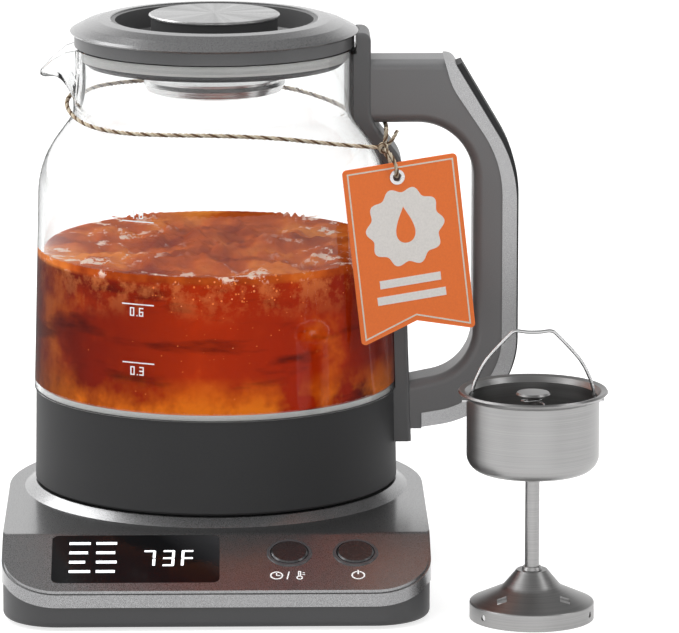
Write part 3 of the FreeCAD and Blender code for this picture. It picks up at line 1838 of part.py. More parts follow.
def swing_tag():
    """Card tag with a notched foot and a hole near its top edge."""
    body = new_body("tag_card")
    sketch = new_sketch(body, "tag_outline", "XY_Plane", z.tag_thickness * -0.5)
    left = z.tag_shift - z.tag_width / 2
    right = z.tag_shift + z.tag_width / 2
    low = z.tag_top_margin - z.tag_length
    polygon(
        sketch,
        [
            (left, low),
            (z.tag_shift, low + z.tag_notch),
            (right, low),
            (right, z.tag_top_margin),
            (left, z.tag_top_margin),
        ],
    )
    feature = pad(body, "tag_pad", sketch, z.tag_thickness)
    sides = (left.value, right.value)

    def at_corner(middle, edge):
        upright = abs(edge.Vertexes[0].Z - edge.Vertexes[-1].Z) > 1e-6
        return upright and min(abs(middle.x - side) for side in sides) < 0.01

    fillet(body, "tag_corners", feature, [at_corner], 1.6)
    at_tag(body)
    hole = at_tag(turned("tag_hole_tool", ring_corners(0, z.tag_hole, 3)))
    card = boolean("Part::Cut", "swing_tag", body, hole)
    eyelet = at_tag(
        turned(
            "tag_eyelet",
            [
                (z.eyelet_bore, -z.tag_thickness / 2 - 0.3),
                (z.eyelet_radius, -z.tag_thickness / 2 - 0.3),
                (z.eyelet_radius, -z.tag_thickness / 2),
                (z.tag_hole, -z.tag_thickness / 2),
                (z.tag_hole, z.tag_thickness / 2),
                (z.eyelet_radius, z.tag_thickness / 2),
                (z.eyelet_radius, z.tag_thickness / 2 + 0.3),
                (z.eyelet_bore, z.tag_thickness / 2 + 0.3),
            ],
        )
    )
    return [card, eyelet]


def ring_corners(inner, outer, half):
    """A rectangle's corners from inner to outer radius and half above and below."""
    return [(inner, -half), (outer, -half), (outer, half), (inner, half)]


def twine_pieces():
    """Twine round the neck, its knot with two tails, and the string to the tag."""
    radius = z.twine_radius.value
    loop = cord_tube("twine_loop", twine_points, radius)
    hole, across, up, out = tag_frame()
    knot = FreeCAD.Vector(*knot_place)
    ball = doc.addObject("Part::Sphere", "twine_knot")
    ball.Label = "twine_knot"
    bind(ball, "Radius", z.knot_radius)
    for letter, number in zip("xyz", knot_place):
        bind(ball, f"Placement.Base.{letter}", number)
    thin = 0.7
    string = cord_tube(
        "tag_string",
        [hole + across * side + up * rise + out * lift for side, rise, lift in string_steps],
        thin,
    )
    tails = []
    for name, ends in (
        ("first_tail", ((0.6, -0.4, 1.9), (1.4, -1.0, 4.4), (0.8, -1.6, 7.4))),
        ("second_tail", ((1.7, 0.2, 1.2), (3.6, -0.4, 3.0), (5.0, -0.8, 6.4))),
    ):
        route = [knot + FreeCAD.Vector(*end) for end in ends]
        tails.append(cord_tube(name, route, thin))
    tail_node = joined("twine_tails", tails)
    return loop, ball, string, tail_node


def cut_by(name, base, *tools):
    """The base less one or more tools, under the finished piece's name."""
    tool = tools[0] if len(tools) == 1 else joined(name + "_tools", list(tools))
    return boolean("Part::Cut", name, base, tool)


nodes = [base_plinth(), base_deck()]
nodes.extend(panel_pieces())
nodes.extend(base_small_pieces())
nodes.extend(connector_pieces())
nodes.append(jug_glass())
skirt, lower = jug_lower_pieces()
nodes.extend(lower)
spine = handle_spine()
grip = handle_grip(spine)
screws = handle_screws()
nodes.append(cut_by("jug_skirt", skirt, screws))
nodes.append(cut_by("handle_spine", spine, screws))
nodes.append(cut_by("handle_grip", grip, screws))
nodes.append(screws)
nodes.extend(handle_trim())
nodes.extend(lid_pieces())
nodes.append(infuser_bell())
basket, infuser_parts = infuser_pieces()
nodes.extend(infuser_parts)
bail = infuser_bail()
nodes.append(cut_by("infuser_basket", basket, bail_holes()))
nodes.append(bail)
nodes.append(infuser_spring())
nodes.extend(swing_tag())
loop, knot_ball, tag_string, tails = twine_pieces()
nodes.append(cut_by("twine_loop_tube", loop, knot_ball))
nodes.append(knot_ball)
nodes.append(cut_by("tag_string_tube", tag_string, knot_ball))
nodes.append(tails)

doc.recompute()
failed = [thing.Name for thing in doc.Objects if {"Invalid", "Error"} & set(thing.State)]
if failed:
    raise RuntimeError("these objects failed: " + ", ".join(failed))

os.makedirs("parts", exist_ok=True)
for node in nodes:
    shape = node.Shape
    if shape.isNull() or not shape.isValid() or not shape.Solids:
        raise RuntimeError(f"{node.Label} has no valid solid")
    shape.exportStep(os.path.join("parts", node.Label + ".step"))
print(len(nodes), "nodes")
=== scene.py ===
import json
import math
import random

import bmesh
import bpy
from mathutils import Matrix, Vector, noise

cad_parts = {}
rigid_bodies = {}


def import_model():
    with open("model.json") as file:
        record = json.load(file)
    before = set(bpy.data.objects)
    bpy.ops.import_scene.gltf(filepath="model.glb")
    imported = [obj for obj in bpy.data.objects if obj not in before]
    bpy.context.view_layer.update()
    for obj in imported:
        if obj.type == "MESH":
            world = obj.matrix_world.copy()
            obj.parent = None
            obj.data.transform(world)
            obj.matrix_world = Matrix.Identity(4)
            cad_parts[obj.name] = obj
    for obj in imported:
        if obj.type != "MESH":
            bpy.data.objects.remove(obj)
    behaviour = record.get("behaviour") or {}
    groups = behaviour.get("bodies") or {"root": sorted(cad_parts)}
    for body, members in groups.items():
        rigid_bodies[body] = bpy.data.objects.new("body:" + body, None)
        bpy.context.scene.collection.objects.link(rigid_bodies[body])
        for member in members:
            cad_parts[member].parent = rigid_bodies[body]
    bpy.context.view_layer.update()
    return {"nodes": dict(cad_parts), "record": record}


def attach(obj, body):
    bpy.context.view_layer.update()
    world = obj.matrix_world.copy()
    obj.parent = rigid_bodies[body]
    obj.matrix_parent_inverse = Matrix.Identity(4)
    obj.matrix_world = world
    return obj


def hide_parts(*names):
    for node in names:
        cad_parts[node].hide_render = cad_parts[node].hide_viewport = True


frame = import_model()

random.seed(7)

MM = 0.001
TURN = 2 * math.pi

# Sizes that the finishing pieces share with the solids, in millimetres.
SLOPE = math.radians(21.5)
FOLD_FRONT = 77.1
DECK = 26.9
BUTTON_SIDES = (25.5, 48.6)
BUTTON_DOWN = 12.2
GLASS_FOOT = (65.6, 64.2)
GLASS_SHOULDER = (63.3, 146.0)
GLASS_WALL = 2.2
TEA_LEVEL = 114.5
TEA_FLOOR = 62.15
TEA_OVERLAP = 0.06
TAG_HOLE = Vector((64.3, -41.5, 147.4))
TAG_YAW = math.radians(12.7)
TAG_TILT = math.radians(6.6)
TAG_SHIFT = 1.4
TAG_WIDTH = 42.0
TAG_LENGTH = 64.2
TAG_ABOVE_HOLE = 5.2
TAG_FACE = 0.32
PRINT_LIFT = 0.02
THIN_PRINT = 0.03

# The camera, in pixels of the photograph, metres and degrees.
PHOTO_WIDTH = 679
FOCAL_PIXELS = 5924.86
SENSOR_WIDTH = 36.0
CAMERA_PLACE = (0.00124, -2.1, 0.5235)
CAMERA_DOWN = 11.70
CAMERA_TURN = -1.19

# Twine sizes, in metres.
LOOP_RADIUS = 0.0008
LOOP_PITCH = 0.0062
THIN_RADIUS = 0.0007
THIN_PITCH = 0.005


# ---- camera, light and floor

def add_camera():
    """A long lens at the photograph's viewing angle."""
    data = bpy.data.cameras.new("camera")
    data.sensor_width = SENSOR_WIDTH
    data.lens = FOCAL_PIXELS / PHOTO_WIDTH * SENSOR_WIDTH
    data.clip_end = 20
    camera = bpy.data.objects.new("camera", data)
    camera.location = CAMERA_PLACE
    camera.rotation_euler = (math.radians(90 - CAMERA_DOWN), 0, math.radians(CAMERA_TURN))
    bpy.context.scene.collection.objects.link(camera)
    bpy.context.scene.camera = camera


def add_light(name, place, target, size, power, size_y=None, shines=True):
    """A soft area light aimed at a point, hidden from mirrors when it doesn't shine."""
    data = bpy.data.lights.new(name, "AREA")
    data.shape = "RECTANGLE"
    data.size = size
    data.size_y = size_y or size
    data.energy = power
    light = bpy.data.objects.new(name, data)
    light.location = place
    aim = Vector(target) - Vector(place)
    light.rotation_euler = aim.to_track_quat("-Z", "Y").to_euler()
    light.visible_glossy = shines
    bpy.context.scene.collection.objects.link(light)


def map_range(tree, source, low, high, to_low, to_high, kind="SMOOTHSTEP"):
    """A number taken from one range to another, and held at the ends."""
    node = tree.nodes.new("ShaderNodeMapRange")
    node.interpolation_type = kind
    for name, value in zip(
        ("From Min", "From Max", "To Min", "To Max"), (low, high, to_low, to_high)
    ):
        node.inputs[name].default_value = value
    tree.links.new(source, node.inputs["Value"])
    return node.outputs[0]


def calculate(tree, operation, first, second=0.0, clamp=False):
    """One step of arithmetic on numbers or sockets."""
    node = tree.nodes.new("ShaderNodeMath")
    node.operation = operation
    node.use_clamp = clamp
    for socket, value in zip(node.inputs, (first, second)):
        if isinstance(value, (int, float)):
            socket.default_value = value
        else:
            tree.links.new(value, socket)
    return node.outputs[0]


def add_world():
    """White to the camera; to all else bright low behind and at the left, dim in front."""
    world = bpy.data.worlds.new("studio")
    bpy.context.scene.world = world
    world.use_nodes = True
    tree = world.node_tree
    tree.nodes.clear()
    out = tree.nodes.new("ShaderNodeOutputWorld")
    mix = tree.nodes.new("ShaderNodeMixShader")
    white = tree.nodes.new("ShaderNodeBackground")
    white.inputs["Color"].default_value = (1, 1, 1, 1)
    studio = tree.nodes.new("ShaderNodeBackground")
    path = tree.nodes.new("ShaderNodeLightPath")
    coords = tree.nodes.new("ShaderNodeTexCoord")
    split = tree.nodes.new("ShaderNodeSeparateXYZ")
    tree.links.new(coords.outputs["Generated"], split.inputs[0])
    behind = map_range(tree, split.outputs["Y"], -0.1, 0.8, 0.0, 0.95)
    level = map_range(tree, split.outputs["Z"], 0.3, 0.62, 1.0, 0.16)
    above = map_range(tree, split.outputs["Z"], 0.6, 0.98, 0.0, 0.3)
    left = map_range(tree, split.outputs["X"], -0.9, -0.1, 1.0, 0.0)
    everywhere = 0.06
    total = calculate(tree, "MULTIPLY", behind, level)
    for part in (above, left, everywhere):
        total = calculate(tree, "ADD", total, part)
    tree.links.new(total, studio.inputs["Color"])
    tree.links.new(path.outputs["Is Camera Ray"], mix.inputs[0])
    tree.links.new(studio.outputs[0], mix.inputs[1])
    tree.links.new(white.outputs[0], mix.inputs[2])
    tree.links.new(mix.outputs[0], out.inputs[0])


def add_floor():
    """A pale worktop: white to the eye, through glass and on satin metal, dim elsewhere."""
    mesh = bpy.data.meshes.new("floor")
    reach = 6.0
    mesh.from_pydata(
        [(-reach, -reach, 0), (reach, -reach, 0), (reach, reach, 0), (-reach, reach, 0)],
        [],
        [(0, 1, 2, 3)],
    )
    floor = bpy.data.objects.new("floor", mesh)
    bpy.context.scene.collection.objects.link(floor)
    paint = bpy.data.materials.new("floor_paint")
    paint.use_nodes = True
    tree = paint.node_tree
    tree.nodes.clear()
    out = tree.nodes.new("ShaderNodeOutputMaterial")
    add = tree.nodes.new("ShaderNodeAddShader")
    matt = tree.nodes.new("ShaderNodeBsdfDiffuse")
    matt.inputs["Color"].default_value = (0.5, 0.5, 0.5, 1)
    glow = tree.nodes.new("ShaderNodeEmission")
    glow.inputs["Color"].default_value = (1, 1, 1, 1)
    glow.inputs["Strength"].default_value = 0.72
    tree.links.new(matt.outputs[0], add.inputs[0])
    tree.links.new(glow.outputs[0], add.inputs[1])
    dim = tree.nodes.new("ShaderNodeBsdfDiffuse")
    dim.inputs["Color"].default_value = (0.12, 0.12, 0.12, 1)
    path = tree.nodes.new("ShaderNodeLightPath")
    rays = path.outputs
    seen = calculate(tree, "MAXIMUM", rays["Is Camera Ray"], rays["Is Transmission Ray"])
    soft = calculate(tree, "SUBTRACT", rays["Is Glossy Ray"], rays["Is Singular Ray"], clamp=True)
    mix = tree.nodes.new("ShaderNodeMixShader")
    tree.links.new(calculate(tree, "MAXIMUM", seen, soft), mix.inputs[0])
    tree.links.new(dim.outputs[0], mix.inputs[1])
    tree.links.new(add.outputs[0], mix.inputs[2])
    tree.links.new(mix.outputs[0], out.inputs[0])
    mesh.materials.append(paint)


def light_past_glass():
    """The lamps reach what is inside the jug, and leave no mirror image on the glass."""
    lit = bpy.data.collections.new("lit_by_lamps")
    for thing in bpy.context.scene.objects:
        if thing.type in ("MESH", "CURVE") and thing.name != "jug_glass":
            lit.objects.link(thing)
    for thing in bpy.context.scene.objects:
        if thing.type == "LIGHT":
            thing.light_linking.receiver_collection = lit
            thing.light_linking.blocker_collection = lit


add_camera()
add_world()
add_light("top_softbox", (0.0, -0.1, 1.3), (0, 0, 0.1), 1.2, 13, shines=False)
add_light("left_strip", (-1.2, -0.35, 0.7), (0, 0, 0.12), 0.4, 4, 1.2)
add_light("left_rear", (-0.75, 0.55, 0.85), (-0.1, 0, 0.1), 0.7, 6, 0.7)
add_light("right_strip", (1.2, -0.5, 0.7), (0, 0, 0.12), 0.4, 5, 1.2)
add_light("front_panel", (0.3, -2.7, 0.75), (0, 0, 0.12), 3.0, 24, 1.5)
add_floor()
bpy.context.scene.view_settings.view_transform = "Standard"


# ---- materials

class Paint:
    """A small builder for a procedural material on one principled shader."""

    def __init__(self, name):
        self.material = bpy.data.materials.new(name)
        self.material.use_nodes = True
        self.tree = self.material.node_tree
        self.shader = self.tree.nodes["Principled BSDF"]
        self.place = self.tree.nodes.new("ShaderNodeTexCoord").outputs["Object"]

    def node(self, kind, **values):
        made = self.tree.nodes.new(kind)
        for key, value in values.items():
            setattr(made, key, value)
        return made

    def link(self, source, target):
        self.tree.links.new(source, target)

    def set(self, **values):
        for key, value in values.items():
            self.shader.inputs[key.replace("_", " ")].default_value = value
        return self

    def mapped(self, scale=(1, 1, 1), location=(0, 0, 0), rotation=(0, 0, 0), source=None):
        node = self.node("ShaderNodeMapping", vector_type="TEXTURE")
        node.inputs["Location"].default_value = location
        node.inputs["Rotation"].default_value = rotation
        node.inputs["Scale"].default_value = scale
        self.link(source or self.place, node.inputs["Vector"])
        return node.outputs[0]

    def noise(self, scale, detail=2.0, vector=None, roughness=0.5):
        node = self.node("ShaderNodeTexNoise")
        node.inputs["Scale"].default_value = scale
        node.inputs["Detail"].default_value = detail
        node.inputs["Roughness"].default_value = roughness
        self.link(vector or self.place, node.inputs["Vector"])
        return node.outputs["Fac"]

    def ramp(self, source, stops):
        node = self.node("ShaderNodeValToRGB")
        band = node.color_ramp
        while len(band.elements) < len(stops):
            band.elements.new(0.5)
        for element, (place, colour) in zip(band.elements, stops):
            element.position = place
            element.color = (*colour, 1)
        self.link(source, node.inputs[0])
        return node.outputs[0]

    def math(self, operation, first, second):
        return calculate(self.tree, operation, first, second)

    def between(self, source, low, high, to_low=0.0, to_high=1.0):
        return map_range(self.tree, source, low, high, to_low, to_high, kind="LINEAR")

    def mix(self, share, first, second):
        node = self.node("ShaderNodeMix", data_type="RGBA")
        sockets = [s for s in node.inputs if s.enabled]
        for socket, value in zip(sockets, (share, first, second)):
            if isinstance(value, (int, float)):
                socket.default_value = value
            elif isinstance(value, tuple):
                socket.default_value = (*value, 1)
            else:
                self.link(value, socket)
        return [s for s in node.outputs if s.enabled][0]

    def axis(self, letter, vector=None):
        node = self.node("ShaderNodeSeparateXYZ")
        self.link(vector or self.place, node.inputs[0])
        return node.outputs[letter]

    def colour(self, source):
        self.link(source, self.shader.inputs["Base Color"])
        return self

    def rough(self, source, low, high):
        self.link(self.between(source, 0.3, 0.7, low, high), self.shader.inputs["Roughness"])
        return self

    def bump(self, source, strength, distance=0.0002):
        node = self.node("ShaderNodeBump")
        node.inputs["Strength"].default_value = strength
        node.inputs["Distance"].default_value = distance
        self.link(source, node.inputs["Height"])
        self.link(node.outputs[0], self.shader.inputs["Normal"])
        return self


def shade(colour, factor):
    """A lighter or darker form of a colour."""
    return tuple(min(1.0, part * factor) for part in colour)


def plastic(name, colour, low=0.38, high=0.52, grain=2600, bump=0.12, level=0.5):
    """Moulded plastic with a fine grain."""
    paint = Paint(name)
    speck = paint.noise(grain, 3)
    cloud = paint.noise(24, 2)
    tint = paint.ramp(cloud, [(0.35, shade(colour, 0.94)), (0.65, shade(colour, 1.06))])
    fine = paint.ramp(speck, [(0.35, shade(colour, 0.9)), (0.65, shade(colour, 1.1))])
    paint.colour(paint.mix(0.5, tint, fine))
    paint.rough(speck, low, high).bump(speck, bump)
    paint.set(Specular_IOR_Level=level)
    return paint.material


def metallic_paint(name, colour, metal=0.75, low=0.3, high=0.42, grain=3800, coat=0.0):
    """Silver-grey paint with fine metal flakes."""
    paint = Paint(name)
    flake = paint.noise(grain, 2)
    cloud = paint.noise(18, 2)
    fine = paint.ramp(
        flake, [(0.34, shade(colour, 0.72)), (0.55, colour), (0.7, shade(colour, 1.35))]
    )
    share = paint.between(cloud, 0.3, 0.7, 0.0, 0.25)
    paint.colour(paint.mix(share, fine, shade(colour, 0.92)))
    paint.rough(flake, low, high).bump(flake, 0.04)
    paint.set(Metallic=metal, Coat_Weight=coat, Coat_Roughness=0.16)
    return paint.material


def brushed(name, colour, stretch, low=0.2, high=0.38, bump=0.12, scale=1.0):
    """Metal brushed along the directions in which stretch is small."""
    paint = Paint(name)
    lines = paint.noise(scale, 3, paint.mapped(tuple(1 / s for s in stretch)))
    fine = paint.ramp(lines, [(0.3, shade(colour, 0.88)), (0.7, shade(colour, 1.1))])
    paint.colour(fine).rough(lines, low, high).bump(lines, bump, 0.00003)
    paint.set(Metallic=1.0)
    return paint.material


def radial_brushed(
    name, colour, location, rotation=(0, 0, 0), low=0.22, high=0.4, metal=1.0, fan=14.0
):
    """Metal turned on a lathe: fine rings and a painted fan of highlights about its axis."""
    paint = Paint(name)
    local = paint.mapped(location=location, rotation=rotation)
    angle = paint.node("ShaderNodeTexGradient", gradient_type="RADIAL")
    paint.link(local, angle.inputs["Vector"])
    highlight_fan = paint.node("ShaderNodeTexNoise", noise_dimensions="1D")
    highlight_fan.inputs["Scale"].default_value = fan
    highlight_fan.inputs["Detail"].default_value = 5.0
    paint.link(angle.outputs["Fac"], highlight_fan.inputs["W"])
    flat = paint.node("ShaderNodeVectorMath", operation="MULTIPLY")
    flat.inputs[1].default_value = (1, 1, 0)
    paint.link(local, flat.inputs[0])
    reach = paint.node("ShaderNodeVectorMath", operation="LENGTH")
    paint.link(flat.outputs[0], reach.inputs[0])
    rings = paint.node("ShaderNodeTexNoise", noise_dimensions="1D")
    rings.inputs["Scale"].default_value = 5200.0
    rings.inputs["Detail"].default_value = 2.0
    paint.link(reach.outputs["Value"], rings.inputs["W"])
    # The fan is painted highlight: lighter and darker wedges of colour round the axis.
    tint = paint.ramp(
        highlight_fan.outputs["Fac"],
        [(0.36, shade(colour, 0.7)), (0.5, colour), (0.64, shade(colour, 1.4))],
    )
    fine = paint.ramp(
        rings.outputs["Fac"], [(0.3, shade(colour, 0.75)), (0.7, shade(colour, 1.25))]
    )
    paint.colour(paint.mix(0.4, tint, fine))
    paint.rough(rings.outputs["Fac"], low, high).bump(rings.outputs["Fac"], 0.1, 0.00004)
    paint.set(Metallic=metal)
    return paint.material


def clear_glass(name, tint=(0.988, 0.994, 0.992)):
    """Clear borosilicate glass."""
    paint = Paint(name)
    film = paint.noise(9, 2)
    paint.colour(paint.ramp(film, [(0.3, shade(tint, 0.985)), (0.7, tint)]))
    paint.set(Transmission_Weight=1.0, IOR=1.47, Roughness=0.0)
    return paint.material


def tea_material():
    """Deep red tea that glows orange where the light comes through; its colour is painted light:
    glow, shade across and at the sides, a reflection of the heating plate and glints at the
    surface.
    """
    paint = Paint("tea_liquor")
    across = paint.axis("X")
    up = paint.axis("Z")
    swirl = paint.noise(26, 5, roughness=0.6)
    veil = paint.noise(110, 5, roughness=0.72)
    streak = paint.noise(30, 4, paint.mapped((1.6, 1.6, 0.35)), roughness=0.6)
    # Painted shade across the tea: darkest at the left, brightest right of centre, darker again
    # at the right.
    painted_shade_across = paint.ramp(
        paint.between(across, -0.066, 0.066),
        [
            (0.0, (0.07, 0.003, 0.0006)),
            (0.2, (0.22, 0.010, 0.0008)),
            (0.45, (0.46, 0.028, 0.001)),
            (0.72, (0.38, 0.018, 0.001)),
            (1.0, (0.15, 0.007, 0.0008)),
        ],
    )
    # Painted glow: bright orange swirls where light comes through the tea.
    bright = paint.ramp(
        swirl,
        [
            (0.42, (0.10, 0.004, 0.0006)),
            (0.54, (0.50, 0.040, 0.002)),
            (0.66, (0.86, 0.19, 0.015)),
        ],
    )
    body = paint.mix(paint.between(swirl, 0.40, 0.68, 0.0, 0.7), painted_shade_across, bright)
    body = paint.mix(paint.between(streak, 0.53, 0.66, 0.0, 0.8), body, (0.05, 0.002, 0.0005))
    # Painted reflection of the heating plate: an orange band low in the tea, fading out between
    # 68 and 80 mm.
    painted_plate_reflection = paint.math(
        "MULTIPLY", paint.between(up, 0.068, 0.080, 1.0, 0.0), paint.between(swirl, 0.42, 0.56)
    )
    body = paint.mix(paint.math("MULTIPLY", painted_plate_reflection, 0.9), body, (0.85, 0.20, 0.008))
    # Painted glow: lighter orange patches in the upper tea, under its surface.
    painted_upper_glow = paint.math(
        "MULTIPLY", paint.between(up, 0.098, 0.1135), paint.between(veil, 0.47, 0.60)
    )
    body = paint.mix(paint.math("MULTIPLY", painted_upper_glow, 0.55), body, (0.80, 0.25, 0.07))
    # Painted glints: whitish marks at the tea's surface near the glass at the left, right and
    # front.
    sides = paint.math(
        "MAXIMUM", paint.between(across, -0.008, -0.034), paint.between(across, 0.016, 0.040)
    )
    glint_edges = paint.math("MAXIMUM", sides, paint.between(paint.axis("Y"), -0.036, -0.054))
    painted_glint = paint.math(
        "MULTIPLY", paint.between(up, 0.1125, 0.1145), paint.between(veil, 0.56, 0.60)
    )
    painted_glint = paint.math("MULTIPLY", painted_glint, glint_edges)
    # Painted shade: the tea darkens towards its far left and right edges.
    painted_edge_shade = paint.math(
        "MAXIMUM", paint.between(across, -0.044, -0.063), paint.between(across, 0.050, 0.066)
    )
    body = paint.mix(paint.math("MULTIPLY", painted_edge_shade, 0.8), body, (0.06, 0.003, 0.0006))
    # Painted light on the tea's top: its surface is a lighter amber than the body.
    surface = paint.between(up, 0.1122, 0.1136)
    amber = paint.ramp(
        swirl,
        [
            (0.38, (0.30, 0.028, 0.001)),
            (0.52, (0.60, 0.105, 0.010)),
            (0.66, (0.88, 0.27, 0.04)),
        ],
    )
    body = paint.mix(surface, body, amber)
    top = paint.mix(paint.math("MULTIPLY", painted_glint, 0.9), body, (0.95, 0.74, 0.62))
    paint.colour(top)
    paint.rough(veil, 0.04, 0.14).bump(veil, 0.5, 0.0016)
    # The painted colour also shines a little by itself: painted glow.
    paint.link(top, paint.shader.inputs["Emission Color"])
    paint.set(Emission_Strength=0.2, IOR=1.33, Specular_IOR_Level=0.0)
    return paint.material


def bubble_material():
    """Small bubbles lit orange by the tea round them."""
    paint = Paint("tea_bubbles")
    spread = paint.noise(160, 2)
    paint.colour(
        paint.ramp(
            spread,
            [
                (0.3, (0.55, 0.07, 0.01)),
                (0.55, (0.82, 0.22, 0.05)),
                (0.75, (0.95, 0.50, 0.25)),
            ],
        )
    )
    paint.rough(spread, 0.05, 0.15)
    paint.set(IOR=1.3, Emission_Strength=0.2)
    paint.shader.inputs["Emission Color"].default_value = (1.0, 0.36, 0.08, 1)
    return paint.material


def twine_material(name, colour):
    """Loosely spun jute: fine slanting fibres."""
    paint = Paint(name)
    fibre = paint.noise(3600, 4, roughness=0.7)
    paint.colour(paint.ramp(fibre, [(0.3, shade(colour, 0.55)), (0.7, shade(colour, 1.25))]))
    paint.rough(fibre, 0.75, 0.95).bump(fibre, 0.8, 0.0003)
    return paint.material


def card_material(name, colour):
    """Uncoated printed card."""
    paint = Paint(name)
    fibre = paint.noise(1400, 4, roughness=0.6)
    paint.colour(paint.ramp(fibre, [(0.3, shade(colour, 0.93)), (0.7, shade(colour, 1.05))]))
    paint.rough(fibre, 0.55, 0.7).bump(fibre, 0.15)
    return paint.material


def lit_material(name, colour, strength):
    """A lit segment that shines a little by itself, or print given a little painted glow."""
    paint = Paint(name)
    cells = paint.noise(900, 1)
    tint = paint.ramp(cells, [(0.3, shade(colour, 0.9)), (0.7, colour)])
    paint.colour(tint)
    paint.link(tint, paint.shader.inputs["Emission Color"])
    paint.set(Emission_Strength=strength, Roughness=0.4)
    return paint.material


def gloss_window():
    """Black display window with a faint smoky painted sheen towards its upper right."""
    paint = Paint("window_gloss")
    across = paint.axis("X")
    along = paint.axis("Y")
    diagonal = paint.math("ADD", across, paint.math("MULTIPLY", along, 0.9))
    cloud = paint.noise(60, 3)
    # Painted sheen: a lighter band across the window's upper right.
    sheen = paint.between(diagonal, -0.092, -0.070)
    sheen = paint.math("MULTIPLY", sheen, paint.between(cloud, 0.2, 0.8, 0.7, 1.0))
    paint.colour(paint.mix(sheen, (0.004, 0.004, 0.0045), (0.035, 0.035, 0.037)))
    paint.rough(cloud, 0.08, 0.14)
    paint.set(Specular_IOR_Level=0.18)
    return paint.material


def panel_point(side, down, out=0.0):
    """A point of the sloping panel, in metres, from millimetres on the panel."""
    front = FOLD_FRONT + down * math.cos(SLOPE) + out * math.sin(SLOPE)
    height = DECK - down * math.sin(SLOPE) + out * math.cos(SLOPE)
    return Vector((side, -front, height)) * MM


SHELL = (0.27, 0.27, 0.274)
DARK = (0.050, 0.050, 0.051)
looks = {
    "plinth": plastic("plinth_plastic", (0.062, 0.062, 0.064), 0.45, 0.6),
    "shell": metallic_paint("shell_paint", SHELL, 0.9, 0.24, 0.34, coat=0.5),
    "rubber": plastic("foot_rubber", (0.02, 0.02, 0.02), 0.7, 0.85),
    "window": gloss_window(),
    "module": plastic("module_plastic", (0.05, 0.05, 0.055)),
    "bezel": plastic("bezel_plastic", (0.05, 0.05, 0.053), 0.25, 0.35),
    "board": plastic("board_lacquer", (0.02, 0.12, 0.05), 0.3, 0.45, 700),
    "brass": brushed("contact_brass", (0.70, 0.48, 0.18), (40, 40, 2000)),
    "steel": brushed("brushed_steel", (0.55, 0.55, 0.55), (60, 60, 2600)),
    "dark_plastic": plastic("dark_satin", DARK, 0.5, 0.62, 3000, 0.05, level=0.08),
    "black_plastic": plastic("black_satin", (0.022, 0.022, 0.024), 0.3, 0.45),
    "glass": clear_glass("jug_clear"),
    "silicone": plastic("milky_silicone", (0.55, 0.55, 0.54), 0.4, 0.5),
    "trim": metallic_paint("trim_paint", (0.38, 0.38, 0.384), 0.85),
    "titanium": brushed("titanium", (0.33, 0.327, 0.325), (22, 22, 5200), 0.3, 0.42, 0.06),
    "twine": twine_material("twine_cream", (0.62, 0.50, 0.36)),
    "card": card_material("tag_orange", (1.0, 0.21, 0.04)),
}
for name, side in zip(("first_button", "second_button"), BUTTON_SIDES):
    looks[name] = radial_brushed(
        name + "_metal", (0.10, 0.10, 0.103), panel_point(side, BUTTON_DOWN), (SLOPE, 0, 0),
        metal=0.9, fan=34.0,
    )
looks["lid_ring"] = metallic_paint("lid_paint", (0.135, 0.135, 0.137), 0.5, 0.25, 0.35, coat=0.9)
looks["lid_dish"] = plastic("dish_satin", (0.085, 0.085, 0.086), 0.3, 0.42)
looks["handle_grip"] = plastic("grip_satin", (0.15, 0.15, 0.152), 0.34, 0.46, 3000, 0.08)
looks["handle_spine"] = plastic("spine_satin", (0.082, 0.082, 0.084), 0.34, 0.46, 3000, 0.08)
looks["lid_band"] = plastic("band_satin", (0.105, 0.105, 0.107), 0.3, 0.42)
looks["lid_knob_cap"] = radial_brushed("knob_steel", (0.50, 0.50, 0.50), (0, 0, 0.1999))
looks["lid_core_cup"] = brushed("core_steel", (0.60, 0.60, 0.60), (60, 60, 2000), 0.18, 0.3)
slots = {part["node"]: part["material_slot"] for part in frame["record"]["subparts"]}
for name, node in frame["nodes"].items():
    look = looks.get(name) or looks.get(slots[name]) or looks["dark_plastic"]
    node.data.materials.clear()
    node.data.materials.append(look)


# ---- piece making

def add_piece(name, mesh, body, materials, smooth=True):
    """Link a mesh as a piece of the object, on a body, with its materials."""
    piece = bpy.data.objects.new(name, mesh)
    bpy.context.scene.collection.objects.link(piece)
    for material in materials:
        mesh.materials.append(material)
    for polygon in mesh.polygons:
        polygon.use_smooth = smooth
    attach(piece, body)
    return piece


def from_bmesh(name, grid):
    """A mesh made from a bmesh, which is freed."""
    mesh = bpy.data.meshes.new(name)
    grid.normal_update()
    grid.to_mesh(mesh)
    grid.free()
    return mesh


def turned_mesh(name, profile, steps=128, wave=None):
    """A closed lathe mesh from (radius, height) pairs in millimetres, starting on the axis."""
    grid = bmesh.new()
    rings = []
    for radius, height in profile:
        if radius <= 0:
            rings.append([grid.verts.new((0, 0, height * MM))])
            continue
        ring = []
        for step in range(steps):
            angle = TURN * step / steps
            place = Vector((radius * math.cos(angle), radius * math.sin(angle), height))
            if wave:
                place = wave(place)
            ring.append(grid.verts.new(place * MM))
        rings.append(ring)
    for low, high in zip(rings, rings[1:]):
        for step in range(steps):
            after = (step + 1) % steps
            if len(low) == 1:
                grid.faces.new((low[0], high[after], high[step]))
            elif len(high) == 1:
                grid.faces.new((low[step], low[after], high[0]))
            else:
                grid.faces.new((low[step], low[after], high[after], high[step]))
    return from_bmesh(name, grid)


